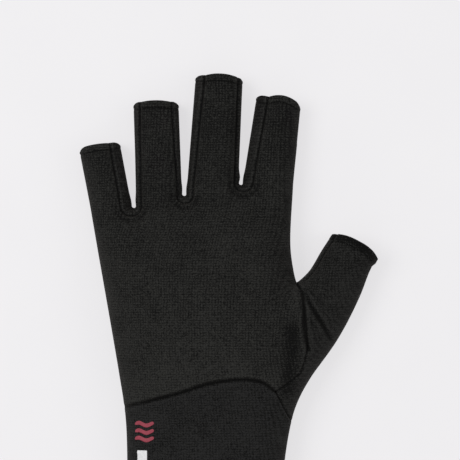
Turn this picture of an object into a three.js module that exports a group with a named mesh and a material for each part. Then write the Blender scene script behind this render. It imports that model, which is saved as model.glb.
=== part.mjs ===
// A left-hand heated glove with open finger ends, sewn from stretch cloth and lying on its palm.
// Lengths are in millimetres. +Y runs from the cuff to the fingers, +X to the thumb, and +Z up.
import * as THREE from "three";

// Cloth and seams
const wall = 2.0; // two bonded layers of cloth
const seamGap = 0.36; // between two neighbouring pieces
const hemDepth = 3.6; // how far the end of a finger or the thumb is folded in
const cuffHem = 12; // how far the cuff's end is folded in
const hemFold = 0.9; // what a fold adds to the wall, on the inside
const foldEdge = 0.3; // length over which the wall thickens to the fold

// Cuff
const cuffLength = 72; // from the open end to the left end of the cuff seam
const cuffWidth = 79; // at the open end
const wristWidth = 77.7;
const wristShare = 0.7; // of wristHeight, where the thumb's side of the wrist is narrowest
const wristStep = 1.0; // how far the outer side stands out just under the cuff seam
const wristStepShare = 0.85; // and where, on the way from wristHeight up to that seam
const littleSideStep = 2.7; // and over it, where the hand begins
const wristHeight = 50; // from the open end to the narrowest place
const seamRise = 14; // how far the cuff seam arches over its left end

// Hand
const palmLength = 99; // from the cuff seam to the crotch beside the little finger
const littleSideLean = 9.9; // degrees that the hand's outer side leans outwards
const forkRadius = 1.25; // the bottom of the gap between two fingers

// Fingers, from the little one to the index one. Each stands on the knuckle line and leans by
// so many degrees to the left. fall is how far its end drops to the right, and arch how far the
// middle of the end stands out.
const fingers = [
  { name: "little", root: 22.0, tip: 20.5, length: 31.5, lean: 11.8, fall: 0.8, arch: 0.5, columns: 6 },
  { name: "ring", root: 25.2, tip: 22.6, length: 50.1, lean: 1.9, fall: 0.5, arch: 0.7, columns: 4 },
  { name: "middle", root: 28.3, tip: 23.4, length: 57.3, lean: -3.4, fall: 0.0, arch: 1.2, columns: 4 },
  { name: "index", root: 26.1, tip: 22.4, length: 43.0, lean: -8.2, fall: 2.0, arch: 2.3, columns: 6 },
];
const stripCorner = 2.5; // radius of the corners of a finger's end beside a gap
const outerCorner = 3.0; // and of the two outermost ones

// The gaps between the fingers: how high their bottoms are over the first one, how wide the strip
// of cloth along each side looks from above, at the root and at the tip, and how much more of it
// shows below the gap.
const forks = [
  { name: "little_ring", rise: 0, below: 0.2, leftRoot: 5.2, leftTip: 4.7, rightRoot: 2.4, rightTip: 3.3 },
  { name: "ring_middle", rise: 6, below: 1.1, leftRoot: 2.0, leftTip: 3.4, rightRoot: 2.8, rightTip: 4.4 },
  { name: "middle_index", rise: 11.5, below: 0, leftRoot: 1.9, leftTip: 2.2, rightRoot: 4.6, rightTip: 5.7 },
];
const littleRootRise = 1.5; // of the little finger's outer side over the first gap
const indexRootRise = 12; // of the index finger's outer side over it

// Thumb
const thumbForkHeight = 61.7; // from the cuff seam's left end to the thumb's crotch
const thumbForkInset = 1.6; // of that crotch from under the index finger's outer side
const thumbLength = 30.7; // along the inner edge
const thumbLean = 37.4; // degrees from the fingers' direction to the inner edge
const thumbTip = 25.0; // across the open end
const thumbFlare = 1.0; // how far the folded end spreads at its outer corner
const thumbNotch = 1.2; // length over which the side runs out to that corner
const thumbTipSlope = 28.5; // degrees that the open end falls outwards
const thumbTipArch = 2.8; // how far its middle stands over its corners
const thumbStrip = 1.8; // of the palm side's cloth that shows along the inner edge
const thumbInnerBow = 1.6; // how far the inner edge bends outwards near the crotch
const handWaist = 1.4; // how far the hand draws in over the thumb's crotch

// Depths, from the surface that the glove lies on to the top of its back
const cuffDepth = 24;
const palmDepth = 28;
const knuckleDepth = 18;
const fingerDepth = 15;
const thumbDepth = 20;

// How a depth is shared out on the way up the hand. mid is the height of the side's outermost
// line, edge the rise over that across the rounded side, and crown the further rise to the
// middle, as shares of the depth. round is the width of the rounded side in millimetres.
const palmTop = cuffLength + palmLength;
const fingersTop = palmTop + Math.max(...fingers.map((f) => f.length));
const overPalm = (share) => cuffLength + share * palmLength;
const sections = [
  { level: 0, depth: cuffDepth, mid: 0.42, edge: 0.4, crown: 0.18, round: 14 },
  { level: wristHeight, depth: cuffDepth, mid: 0.42, edge: 0.38, crown: 0.2, round: 14 },
  { level: overPalm(0.3), depth: palmDepth, mid: 0.37, edge: 0.35, crown: 0.28, round: 15 },
  { level: overPalm(0.7), depth: palmDepth, mid: 0.36, edge: 0.34, crown: 0.3, round: 13 },
  { level: overPalm(1.08), depth: knuckleDepth, mid: 0.43, edge: 0.45, crown: 0.2, round: 9.5 },
  { level: fingersTop, depth: fingerDepth, mid: 0.43, edge: 0.47, crown: 0.2, round: 9 },
];
const thumbSection = { depth: thumbDepth, mid: 0.42, edge: 0.44, crown: 0.25, round: 11 };
const crownReach = 42; // from a side to where the crown is full
const footRound = 1.2; // width of the rounded underside, as a share of mid
const thumbBegun = 0.4; // share of the thumb's end at whose place the figures are all the thumb's

// The cuff seam over the back, as shares of the hand's width there and of seamRise. Its last
// stretch, where it meets the thumb, is straight and runs to seamEnd.
const cuffSeamTable = [
  { across: 0, up: 0 },
  { across: 0.34, up: 0.54 },
  { across: 0.51, up: 0.86 },
  { across: 0.69, up: 1.0 },
  { across: 0.82, up: 0.91 },
  { across: 0.905, up: 0.55 },
];
const seamEnd = { across: 1.0, up: -0.53 };

// The thumb's outer side from the cuff seam to its end, as shares of how far that end stands
// out from the wrist and up from the seam
const thumbSideTable = [
  { out: 0.091, up: 0 },
  { out: 0.166, up: 0.13 },
  { out: 0.285, up: 0.256 },
  { out: 0.593, up: 0.507 },
  { out: 0.817, up: 0.758 },
  { out: 0.924, up: 0.915 },
  { out: 1, up: 1 },
];

// The hand's side from the thumb's crotch to the index finger's root, as shares of the way
// inwards and up. It is most drawn in at handWaistHeight.
const handSideTable = [
  { inwards: 0, up: 0 },
  { inwards: 0.25, up: 0.025 },
  { inwards: 0.95, up: 0.125 },
];
const handWaistHeight = 0.38;

// The thumb's inner edge between its ends, as shares of thumbLength and of thumbInnerBow
const thumbInnerTable = [
  { up: 0.04, bow: 0.3 },
  { up: 0.28, bow: 1 },
  { up: 0.67, bow: 0.2 },
];

// The seam between hand and thumb, from the thumb's crotch down, as shares of the thumb's length
const thumbSeamTable = [
  { across: 0, down: 0 },
  { across: 0.08, down: 0.16 },
  { across: 0.15, down: 0.72 },
  { across: 0.16, down: 1.1 },
  { across: 0.05, down: 1.45 },
];

// Soft folds pressed into the back beside the thumb: from and to, as shares of the thumb's
// length from its crotch, with their depth and width in millimetres
const folds = [
  { fromX: 0.06, fromY: -0.12, toX: 0.16, toY: -1.05, depth: 1.0, width: 2.4 },
  { fromX: 0.14, fromY: -0.12, toX: 0.56, toY: -0.95, depth: 1.1, width: 2.6 },
  { fromX: -0.08, fromY: -0.75, toX: -0.14, toY: -1.65, depth: 0.9, width: 4.5 },
];

// How finely the cloth is divided
const forkSteps = 6; // round the bottom of a gap
const fingerRow = 9; // length of a row along a finger
const thumbRows = 6;
const thumbColumns = 8;
const cuffRows = 5;
const cuffColumns = 16;
const palmRowsOverThumb = 5;
const closerToRoot = 1.4; // draws those rows together towards the index finger's root
const thumbSeamShares = [0.08, 0.15, 0.28, 0.44, 0.62, 0.81, 1]; // down from the crotch
const foldOver = [1, 0.5, 0.15, 0, -0.15, -0.5, -1]; // across a strip from back to palm
const wrapOver = [0, 0.4, 1]; // from the thumb's inner edge to the seam beside it
const fewestRows = 3; // along a finger
const sameWithin = 0.005; // closer points count as one

const point = (x, y) => new THREE.Vector2(x, y);
const radians = THREE.MathUtils.degToRad;
const mix = THREE.MathUtils.lerp;
const between = (a, b, share) => a.clone().lerp(b, share);
const evenly = (steps) => Array.from({ length: steps + 1 }, (_, i) => i / steps);
const half = seamGap / 2;

// A smooth curve through points of the plan, sampled evenly.
function smoothLine(points, steps) {
  const curve = new THREE.CatmullRomCurve3(points.map((p) => new THREE.Vector3(p.x, p.y, 0)));
  return curve.getSpacedPoints(steps).map((p) => point(p.x, p.y));
}

// Where each point of a line lies, as a share of its length.
function sharesOf(line) {
  const at = [0];
  for (let i = 1; i < line.length; i++) at.push(at[i - 1] + line[i].distanceTo(line[i - 1]));
  return at.map((length) => length / at.at(-1));
}

// The point at a share of a line's length.
function along(line, share) {
  const at = sharesOf(line);
  const wanted = THREE.MathUtils.clamp(share, 0, 1);
  const i = Math.max(1, at.findIndex((s) => s >= wanted - 1e-9));
  return between(line[i - 1], line[i], (wanted - at[i - 1]) / (at[i] - at[i - 1]));
}

const stations = (line, shares) => shares.map((s) => along(line, s));

// Parts a line that rises steadily in two at a height.
function partAt(line, height) {
  const i = line.findIndex((p) => p.y >= height);
  const meet = between(line[i - 1], line[i], (height - line[i - 1].y) / (line[i].y - line[i - 1].y));
  return [[...line.slice(0, i), meet], [meet.clone(), ...line.slice(i)]];
}

const slopeStep = 0.002; // of a line's length, over which its direction is read

// Stations of a seam held back by half the gap, to the left of the line (1) or the right (-1).
function seamLine(line, shares, side) {
  return shares.map((s) => {
    const run = along(line, s + slopeStep).sub(along(line, s - slopeStep));
    return along(line, s).add(point(-run.y, run.x).setLength(side * half));
  });
}

// Part of a circle, between two angles in degrees.
const arc = (centre, radius, from, to, steps) =>
  evenly(steps).map((s) => {
    const turn = radians(mix(from, to, s));
    return point(centre.x + radius * Math.cos(turn), centre.y + radius * Math.sin(turn));
  });

// Shares across a piece, closer together where the cloth turns down at an outline (0 or 180
// degrees) than where it ends at a seam on top.
const overOutline = { left: 0, right: 180 };
const overSeam = { left: 55, right: 125 };
function acrossShares(from, to, steps) {
  const place = (s) => -Math.cos(radians(mix(from, to, s)));
  return evenly(steps).map((s) => (place(s) - place(0)) / (place(1) - place(0)));
}
const overCorner = 45; // where the cuff seam's last stretch begins
const cornerShares = acrossShares(overCorner, overOutline.right, thumbColumns);

// Rows from a seam to a folded end: their shares of the length, and what the fold adds to each.
function rowsToHem(length, rows, depth) {
  const fold = 1 - depth / length;
  return [
    ...evenly(rows).map((s) => ({ share: s * fold, hem: 0 })),
    { share: fold + foldEdge / length, hem: hemFold },
    { share: 1, hem: hemFold },
  ];
}

// Places on the plan: the hand's outer side and the knuckle line, whose points j and j + 1 hold
// finger j
const outerBend = overPalm(0.09);
const outerStraight = overPalm(0.17); // the outer side runs straight from here up
const outerSide = (y) =>
  point(-wristWidth / 2 - littleSideStep - (y - outerBend) * Math.tan(radians(littleSideLean)), y);
const knuckles = [outerSide(palmTop + littleRootRise)];
fingers.forEach((finger, j) => {
  const rise = j < forks.length ? forks[j].rise : indexRootRise;
  knuckles.push(point(knuckles[j].x + finger.root, palmTop + rise));
});
const littleRoot = knuckles[0];
const indexRoot = knuckles.at(-1);

fingers.forEach((finger, j) => {
  const lean = radians(finger.lean);
  finger.up = point(-Math.sin(lean), Math.cos(lean));
  finger.across = point(Math.cos(lean), Math.sin(lean));
  const end = between(knuckles[j], knuckles[j + 1], 0.5).addScaledVector(finger.up, finger.length);
  const toRight = finger.across.clone().multiplyScalar(finger.tip / 2);
  toRight.addScaledVector(finger.up, -finger.fall / 2);
  finger.leftTip = end.clone().sub(toRight);
  finger.rightTip = end.clone().add(toRight);
  finger.leftCorner = j === 0 ? outerCorner : stripCorner;
  finger.rightCorner = j === fingers.length - 1 ? outerCorner : stripCorner;
  const rows = Math.max(fewestRows, Math.round((finger.length - hemDepth) / fingerRow));
  finger.rows = rowsToHem(finger.length, rows, hemDepth);
});

// How far a rounded corner draws a finger's end back, so far away from the finger's side.
const cornerDrop = (away, radius) =>
  radius - Math.sqrt(radius ** 2 - Math.max(0, radius - away) ** 2);

// The place on a finger's end that is so far away from its left side.
function endPlace(finger, away) {
  const drop = cornerDrop(away, finger.leftCorner) + cornerDrop(finger.tip - away, finger.rightCorner);
  return between(finger.leftTip, finger.rightTip, away / finger.tip).addScaledVector(finger.up, -drop);
}

forks.forEach((fork, j) => {
  fork.centre = knuckles[j + 1].clone().add(point(0, forkRadius));
  fork.left = fingers[j];
  fork.right = fingers[j + 1];
  fork.round = arc(fork.centre, forkRadius, -180, 0, forkSteps);
});

// The thumb's corners
const thumbFork = point(indexRoot.x + thumbForkInset, cuffLength + thumbForkHeight);
const thumbUp = point(Math.sin(radians(thumbLean)), Math.cos(radians(thumbLean)));
const thumbAside = point(thumbUp.y, -thumbUp.x);
const thumbInnerTip = thumbFork.clone().addScaledVector(thumbUp, thumbLength);
const thumbEndRun = point(Math.cos(radians(thumbTipSlope)), -Math.sin(radians(thumbTipSlope)));
const thumbEndOut = point(-thumbEndRun.y, thumbEndRun.x);
const thumbOuterTip = thumbInnerTip.clone().addScaledVector(thumbEndRun, thumbTip);
const thumbEndWidth = thumbTip + thumbFlare;

// The thumb's open end bulges evenly, with full corners.
const thumbEnd = (share) =>
  thumbInnerTip
    .clone()
    .addScaledVector(thumbEndRun, share * thumbEndWidth)
    .addScaledVector(thumbEndOut, thumbTipArch * (1 - Math.abs(2 * share - 1) ** 3));

// Outlines of the two sides of cuff and hand
const rightWrist = point(wristWidth / 2, wristShare * wristHeight);
const seamEndHeight = cuffLength + seamEnd.up * seamRise;
const bareSide = smoothLine(
  [
    point(cuffWidth / 2, 0),
    rightWrist,
    ...thumbSideTable.map((row) =>
      point(mix(rightWrist.x, thumbOuterTip.x, row.out), mix(seamEndHeight, thumbOuterTip.y, row.up)),
    ),
  ],
  120,
);
const innerSide = bareSide.map((p) => {
  const flare = 1 - THREE.MathUtils.smoothstep(p.distanceTo(thumbOuterTip), hemDepth, hemDepth + thumbNotch);
  return p.clone().addScaledVector(thumbEndRun, flare * thumbFlare);
});
const leftSide = smoothLine(
  [
    point(-cuffWidth / 2, 0),
    point(-wristWidth / 2, wristHeight),
    point(-wristWidth / 2 - wristStep, mix(wristHeight, cuffLength, wristStepShare)),
    outerSide(outerStraight),
    littleRoot,
  ],
  90,
);
const [cuffRight, thumbSide] = partAt(innerSide, seamEndHeight);
const [cuffLeft, handLeft] = partAt(leftSide, cuffLength);
const handSide = smoothLine(
  [
    ...handSideTable.map((row) =>
      point(mix(thumbFork.x, indexRoot.x, row.inwards), mix(thumbFork.y, indexRoot.y, row.up)),
    ),
    point(indexRoot.x - handWaist, mix(thumbFork.y, indexRoot.y, handWaistHeight)),
    indexRoot,
  ],
  40,
);
const innerPoint = (row) =>
  thumbFork
    .clone()
    .addScaledVector(thumbUp, row.up * thumbLength)
    .addScaledVector(thumbAside, row.bow * thumbInnerBow);
const thumbInner = smoothLine([thumbFork, ...thumbInnerTable.map(innerPoint), thumbInnerTip], 40);

// Seams over the back, which the palm repeats. Back, thumb and cuff meet at seamCorner.
const seamPoint = (row) =>
  point(mix(cuffLeft.at(-1).x, cuffRight.at(-1).x, row.across), cuffLength + row.up * seamRise);
const cuffSeam = smoothLine(cuffSeamTable.map(seamPoint), 40);
const seamCorner = cuffSeam.at(-1);
const cornerSeam = [seamCorner, cuffRight.at(-1)];
const thumbSeam = smoothLine(
  [
    ...thumbSeamTable.map((row) =>
      point(thumbFork.x + row.across * thumbLength, thumbFork.y - row.down * thumbLength),
    ),
    seamCorner,
  ],
  60,
);
const thumbSeamLength = thumbSeam.reduce((sum, p, i) => sum + (i ? p.distanceTo(thumbSeam[i - 1]) : 0), 0);
const stripShare = thumbStrip / thumbSeamLength;

// The edges that the cloth turns over, each running with the glove on its left. They go on past
// the open ends.
const pastEnds = 12;
const onPast = (inner, end) => end.clone().add(end.clone().sub(inner).setLength(pastEnds));
const sides = [
  [
    onPast(littleRoot, fingers[0].leftTip),
    fingers[0].leftTip,
    ...leftSide.toReversed(),
    onPast(leftSide[5], leftSide[0]),
  ],
  [onPast(innerSide[5], innerSide[0]), ...innerSide, onPast(innerSide.at(-9), innerSide.at(-1))],
  [
    onPast(thumbFork, thumbInnerTip),
    ...thumbInner.toReversed(),
    ...handSide.slice(1),
    fingers[3].rightTip,
    onPast(indexRoot, fingers[3].rightTip),
  ],
  ...forks.map((fork) => [
    onPast(fork.round.at(-1), fork.right.leftTip),
    fork.right.leftTip,
    ...arc(fork.centre, forkRadius, 0, -180, 3 * forkSteps),
    fork.left.rightTip,
    onPast(fork.round[0], fork.left.rightTip),
  ]),
];

// The way from the nearest point of a side to a place, and the side's direction inwards there.
function fromSide(line, x, y) {
  let best = { d: Infinity };
  for (let i = 1; i < line.length; i++) {
    const a = line[i - 1];
    const dx = line[i].x - a.x;
    const dy = line[i].y - a.y;
    const length = Math.hypot(dx, dy);
    if (length < 1e-6) continue;
    const t = THREE.MathUtils.clamp(((x - a.x) * dx + (y - a.y) * dy) / length ** 2, 0, 1);
    const ox = x - a.x - t * dx;
    const oy = y - a.y - t * dy;
    const d = Math.hypot(ox, oy);
    if (d < best.d) best = { d, ox, oy, inX: -dy / length, inY: dx / length };
  }
  return best;
}

// Distance from all the sides together, blended so that the middle of a finger is round, and
// the direction in which it grows.
const blend = 4;
function fromSides(x, y, onEdge) {
  const all = sides.map((line) => fromSide(line, x, y));
  const nearest = all.reduce((a, b) => (b.d < a.d ? b : a));
  if (onEdge || nearest.d < 1e-4) return { d: 0, gx: nearest.inX, gy: nearest.inY };
  const d = all.reduce((sum, s) => sum + s.d ** -blend, 0) ** (-1 / blend);
  let gx = 0;
  let gy = 0;
  for (const s of all) {
    const weight = (d / s.d) ** (blend + 1) / s.d;
    gx += weight * s.ox;
    gy += weight * s.oy;
  }
  return { d, gx, gy };
}

// The depth figures at a place: eased between the rows of the table, and towards the thumb's.
function sectionAt(x, y) {
  const above = sections.findIndex((s) => s.level > y);
  const b = above < 0 ? sections.at(-1) : sections[above];
  const a = above < 0 ? b : sections[Math.max(0, above - 1)];
  const share = a === b ? 0 : THREE.MathUtils.smoothstep(y, a.level, b.level);
  const allThumb = mix(thumbInnerTip.x, thumbOuterTip.x, thumbBegun);
  const toThumb = THREE.MathUtils.smoothstep(x, thumbFork.x, allThumb);
  const height = (key) =>
    mix(mix(a[key] * a.depth, b[key] * b.depth, share), thumbSection[key] * thumbSection.depth, toThumb);
  const round = mix(mix(a.round, b.round, share), thumbSection.round, toThumb);
  return { mid: height("mid"), edge: height("edge"), crown: height("crown"), round };
}

// How far the folds press the back in at a place.
function foldDepth(x, y) {
  const place = (across, up) => point(thumbFork.x + across * thumbLength, thumbFork.y + up * thumbLength);
  return folds.reduce((sum, fold) => {
    const from = place(fold.fromX, fold.fromY);
    const run = place(fold.toX, fold.toY).sub(from);
    const share = THREE.MathUtils.clamp(point(x, y).sub(from).dot(run) / run.lengthSq(), 0, 1);
    const away = point(x, y).distanceTo(from.addScaledVector(run, share));
    return sum + fold.depth * Math.exp(-((away / fold.width) ** 2));
  }, 0);
}

// A point of the cloth's outer face over a place of the plan, with the direction out of it and
// the wall behind it. side is 1 on the back and -1 on the palm. Where the two meet on an outline,
// gap holds them apart.
function cloth(place, side, { onEdge = false, gap = 0, hem = 0 } = {}) {
  const { x, y } = place;
  const { d, gx, gy } = fromSides(x, y, onEdge);
  const s = sectionAt(x, y);
  const outwards = Math.max(0, 1 - d / (side > 0 ? s.round : footRound * s.mid));
  const upwards = Math.sqrt(1 - outwards ** 2);
  const crown = s.crown * (1 - Math.max(0, 1 - d / crownReach) ** 2);
  const back = s.mid + gap / 2 + s.edge * upwards + crown - foldDepth(x, y) * upwards;
  const palm = (s.mid - gap / 2) * (1 - upwards);
  return {
    at: new THREE.Vector3(x, y, side > 0 ? back : palm),
    out: new THREE.Vector3(-gx * outwards, -gy * outwards, side * upwards).normalize(),
    wall: wall + hem,
  };
}

// Fills a four-sided patch of the plan between its edges.
function patch(bottom, top, left, right) {
  const [us, ut, vl, vr] = [bottom, top, left, right].map(sharesOf);
  return left.map((_, j) =>
    bottom.map((_, i) => {
      const du = ut[i] - us[i];
      const dv = vr[j] - vl[j];
      const u = (us[i] + du * vl[j]) / (1 - du * dv);
      const v = vl[j] + dv * u;
      const upright = between(bottom[i], top[i], v);
      const level = between(left[j], right[j], u);
      const low = between(bottom[0], bottom.at(-1), u);
      const corners = low.lerp(between(top[0], top.at(-1), u), v);
      return upright.add(level).sub(corners);
    }),
  );
}

// One piece of cloth: grids of points of its outer face that share their borders, given its
// thickness.
class Panel {
  constructor(name, finish) {
    this.name = name;
    this.finish = finish;
    this.points = [];
    this.faces = [];
    this.known = new Map();
  }

  idOf(p) {
    const key = p.at.toArray().map((v) => Math.round(v / sameWithin)).join();
    if (!this.known.has(key)) this.known.set(key, this.points.push(p) - 1);
    return this.known.get(key);
  }

  add(grid, turned) {
    const ids = grid.map((row) => row.map((p) => this.idOf(p)));
    for (let j = 1; j < ids.length; j++) {
      for (let i = 1; i < ids[0].length; i++) {
        const ring = [ids[j - 1][i - 1], ids[j - 1][i], ids[j][i], ids[j][i - 1]];
        if (turned) ring.reverse();
        this.faces.push([ring[0], ring[1], ring[2]], [ring[0], ring[2], ring[3]]);
      }
    }
    return this;
  }

  mesh() {
    const count = this.points.length;
    const faces = this.faces.filter((face) => new Set(face).size === 3);
    const open = new Map();
    for (const [a, b, c] of faces) {
      for (const [from, to] of [[a, b], [b, c], [c, a]]) {
        if (!open.delete(`${to},${from}`)) open.set(`${from},${to}`, [from, to]);
      }
    }
    const inside = faces.map(([a, b, c]) => [c + count, b + count, a + count]);
    const rim = [...open.values()].flatMap(([a, b]) => [
      [b, a, a + count],
      [b, a + count, b + count],
    ]);
    const outer = this.points.map((p) => p.at);
    const inner = this.points.map((p) => p.at.clone().addScaledVector(p.out, -p.wall));
    const places = [...outer, ...inner].flatMap((p) => p.toArray());
    const geometry = new THREE.BufferGeometry();
    geometry.setAttribute("position", new THREE.Float32BufferAttribute(places, 3));
    geometry.setIndex([...faces, ...inside, ...rim].flat());
    geometry.computeVertexNormals();
    const made = new THREE.Mesh(geometry, this.finish);
    made.name = this.name;
    return made;
  }
}

// The seam round the bottom of a gap between two fingers, so far outside its strip's middle line.
function forkSeam(fork, offset) {
  const radius = forkRadius + (fork.leftRoot + fork.rightRoot) / 2 + offset;
  const centre = fork.centre.clone().add(point((fork.rightRoot - fork.leftRoot) / 2, -fork.below));
  return arc(centre, radius, -180, 0, forkSteps);
}

// The plan of one finger between its seams or outlines, from its root up.
function fingerPlan(finger, j) {
  const before = forks[j - 1];
  const after = forks[j];
  const leftRoot = before ? forkSeam(before, half).at(-1) : littleRoot;
  const rightRoot = after ? forkSeam(after, half)[0] : indexRoot;
  const leftInset = before ? before.rightTip + half : 0;
  const rightInset = after ? after.leftTip + half : 0;
  const from = before ? overSeam.left : overOutline.left;
  const to = after ? overSeam.right : overOutline.right;
  const columns = acrossShares(from, to, finger.columns);
  const bottom = columns.map((s) => between(leftRoot, rightRoot, s));
  const top = columns.map((s) => {
    const away = mix(leftInset, finger.tip - rightInset, s);
    return endPlace(finger, away).addScaledVector(finger.up, finger.arch * (1 - (2 * s - 1) ** 2));
  });
  const left = finger.rows.map((row) => between(leftRoot, top[0], row.share));
  const right = finger.rows.map((row) => between(rightRoot, top.at(-1), row.share));
  return patch(bottom, top, left, right);
}

// The plan of the hand between the cuff seam, its sides, the thumb seam and the knuckle line.
const fingerPlans = fingers.map(fingerPlan);
const thumbStations = [0, stripShare, ...thumbSeamShares];
const knuckleLine = fingerPlans.flatMap((grid, j) => [
  ...grid[0],
  ...(forks[j] ? forkSeam(forks[j], half).slice(1, -1) : []),
]);
function palmPlan() {
  const acrossPalm = knuckleLine.map((p) => (p.x - littleRoot.x) / (indexRoot.x - littleRoot.x));
  const overThumb = evenly(palmRowsOverThumb).map((s) => 1 - (1 - s) ** closerToRoot);
  const bottom = seamLine(cuffSeam, acrossPalm, 1);
  const right = [
    ...seamLine(thumbSeam, thumbStations, -1).toReversed(),
    ...stations(handSide, overThumb).slice(1),
  ];
  bottom.at(-1).add(right[0]).sub(seamCorner);
  right[0].copy(bottom.at(-1));
  const left = stations(
    handLeft,
    right.map((p) => (p.y - right[0].y) / (indexRoot.y - right[0].y)),
  );
  left[0].copy(bottom[0]);
  return patch(bottom, knuckleLine, left, right);
}

// Back or palm of the hand, in one with its four fingers.
function handPanel(name, side, finish) {
  const panel = new Panel(name, finish);
  const turned = side < 0;
  const edge = { onEdge: true, gap: seamGap };
  const forkRow = thumbStations.length - 1;
  const palm = palmPlan().map((row, j) =>
    row.map((p, i) => {
      const outline = i === 0 || (i === row.length - 1 && j >= forkRow);
      return cloth(p, side, outline ? edge : {});
    }),
  );
  panel.add(palm, turned);
  fingerPlans.forEach((grid, k) => {
    const outlineColumn = { 0: 0, 3: grid[0].length - 1 }[k];
    const skin = grid.map((row, j) =>
      row.map((p, i) => {
        const outline = i === outlineColumn ? edge : {};
        return cloth(p, side, { ...outline, hem: fingers[k].rows[j].hem });
      }),
    );
    panel.add(skin, turned);
  });
  return panel.mesh();
}

// The strip between two fingers: down one side of their gap, round its bottom and up the other.
function fourchette(fork, finish) {
  const seam = forkSeam(fork, -half);
  const sideOf = (finger, edgeRoot, seamRoot, edgeAway, seamAway) =>
    finger.rows.map((row) => ({
      hem: row.hem,
      place: (t) => {
        const end = endPlace(finger, mix(edgeAway, seamAway, t));
        return between(between(edgeRoot, seamRoot, t), end, row.share);
      },
    }));
  const [left, right] = [fork.left, fork.right];
  const lines = [
    ...sideOf(left, fork.round[0], seam[0], left.tip, left.tip - fork.leftTip + half).toReversed(),
    ...fork.round.map((p, i) => ({ hem: 0, place: (t) => between(p, seam[i], t) })).slice(1, -1),
    ...sideOf(right, fork.round.at(-1), seam.at(-1), 0, fork.rightTip - half),
  ];
  const skin = lines.map((line) =>
    foldOver.map((t) =>
      cloth(line.place(Math.abs(t)), t < 0 ? -1 : 1, { onEdge: t === 0, hem: line.hem }),
    ),
  );
  return new Panel(`fourchette_${fork.name}`, finish).add(skin, true).mesh();
}

// A line that follows the thumb's inner edge at a distance, from the seam round its base.
const thumbRowList = rowsToHem(thumbLength, thumbRows, hemDepth);
function besideThumbInner(strip) {
  const inwards = thumbInner.toReversed();
  const line = stations(thumbInner, thumbRowList.map((row) => row.share)).map((p) => {
    const { inX, inY } = fromSide(inwards, p.x, p.y);
    return point(p.x + inX * strip, p.y + inY * strip);
  });
  line[0] = seamLine(thumbSeam, [strip / thumbSeamLength], 1)[0];
  line[line.length - 1] = thumbEnd(strip / thumbEndWidth);
  return line;
}

// The plan of the thumb from the cuff seam to its open end, with rows that run across it. strip
// is how far its inner side stays back from the outline.
function thumbPlan(strip) {
  const upSeam = seamLine(thumbSeam, thumbStations.slice(strip > 0 ? 2 : 1).toReversed(), 1);
  const left = [...upSeam, ...besideThumbInner(strip)];
  const root = seamLine(cornerSeam, cornerShares, 1);
  left[0].add(root[0]).sub(seamCorner);
  root[0].copy(left[0]);
  const right = stations(thumbSide, sharesOf(left));
  right[0].copy(root.at(-1));
  const from = strip > 0 ? overSeam.left : overOutline.left;
  const end = acrossShares(from, overOutline.right, thumbColumns).map((s) =>
    thumbEnd(mix(strip / thumbEndWidth, 1, s)),
  );
  return patch(root, end, left, right);
}

// Back of the thumb, which leaves a strip of the other piece showing along its inner edge, or
// palm of the thumb, which wraps over that edge.
function thumbPanel(name, side, finish) {
  const plan = thumbPlan(side > 0 ? thumbStrip + half : 0);
  const forkRow = plan.length - thumbRowList.length;
  const skin = plan.map((row, j) =>
    row.map((p, i) => {
      const hem = j < forkRow ? 0 : thumbRowList[j - forkRow].hem;
      if (i === row.length - 1) return cloth(p, side, { onEdge: true, gap: seamGap, hem });
      return cloth(p, side, { onEdge: side < 0 && i === 0 && j >= forkRow, hem });
    }),
  );
  const panel = new Panel(name, finish).add(skin, side < 0);
  if (side < 0) {
    const seam = besideThumbInner(thumbStrip - half);
    const wrap = besideThumbInner(0).map((p, j) =>
      wrapOver.map((t) =>
        cloth(between(p, seam[j], t), 1, { onEdge: t === 0, hem: thumbRowList[j].hem }),
      ),
    );
    panel.add(wrap, false);
  }
  return panel.mesh();
}

// Back or palm of the cuff, from its open end up to the cuff seam.
function cuffPanel(name, side, finish) {
  const rows = rowsToHem(cuffLength, cuffRows, cuffHem)
    .map((row) => ({ share: 1 - row.share, hem: row.hem }))
    .toReversed();
  const acrossSeam = evenly(cuffColumns).map((s) => 1 - Math.cos((s * Math.PI) / 2));
  const top = [
    ...seamLine(cuffSeam, acrossSeam.slice(0, -1), -1),
    ...seamLine(cornerSeam, cornerShares, -1),
  ];
  const left = stations(cuffLeft, rows.map((row) => row.share));
  const right = stations(cuffRight, rows.map((row) => row.share));
  left[left.length - 1].copy(top[0]);
  right[right.length - 1].copy(top.at(-1));
  const bottom = top.map((p) =>
    between(left[0], right[0], (p.x - top[0].x) / (top.at(-1).x - top[0].x)),
  );
  const skin = patch(bottom, top, left, right).map((row, j) =>
    row.map((p, i) => {
      const outline = i === 0 || i === row.length - 1;
      return cloth(p, side, { onEdge: outline, gap: outline ? seamGap : 0, hem: rows[j].hem });
    }),
  );
  return new Panel(name, finish).add(skin, side < 0).mesh();
}

// Matt black stretch cloth with a fine weave
const blackCloth = (name, color) =>
  new THREE.MeshStandardMaterial({ name, color, roughness: 0.92, metalness: 0 });

const glove = new THREE.Group();
glove.add(
  handPanel("back_panel", 1, blackCloth("back_cloth", 0x222221)),
  handPanel("palm_panel", -1, blackCloth("palm_cloth", 0x201f1f)),
  ...forks.map((fork) => fourchette(fork, blackCloth("side_cloth", 0x272625))),
  thumbPanel("thumb_back", 1, blackCloth("back_cloth", 0x222221)),
  thumbPanel("thumb_palm", -1, blackCloth("palm_cloth", 0x201f1f)),
  cuffPanel("cuff_back", 1, blackCloth("cuff_cloth", 0x222221)),
  cuffPanel("cuff_palm", -1, blackCloth("cuff_cloth", 0x222221)),
);

// The origin is under the middle of the glove, on the surface that it lies on.
const box = new THREE.Box3().setFromObject(glove);
const centre = box.getCenter(new THREE.Vector3());
glove.position.set(-centre.x, -centre.y, -box.min.z);

export default glove;
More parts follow.
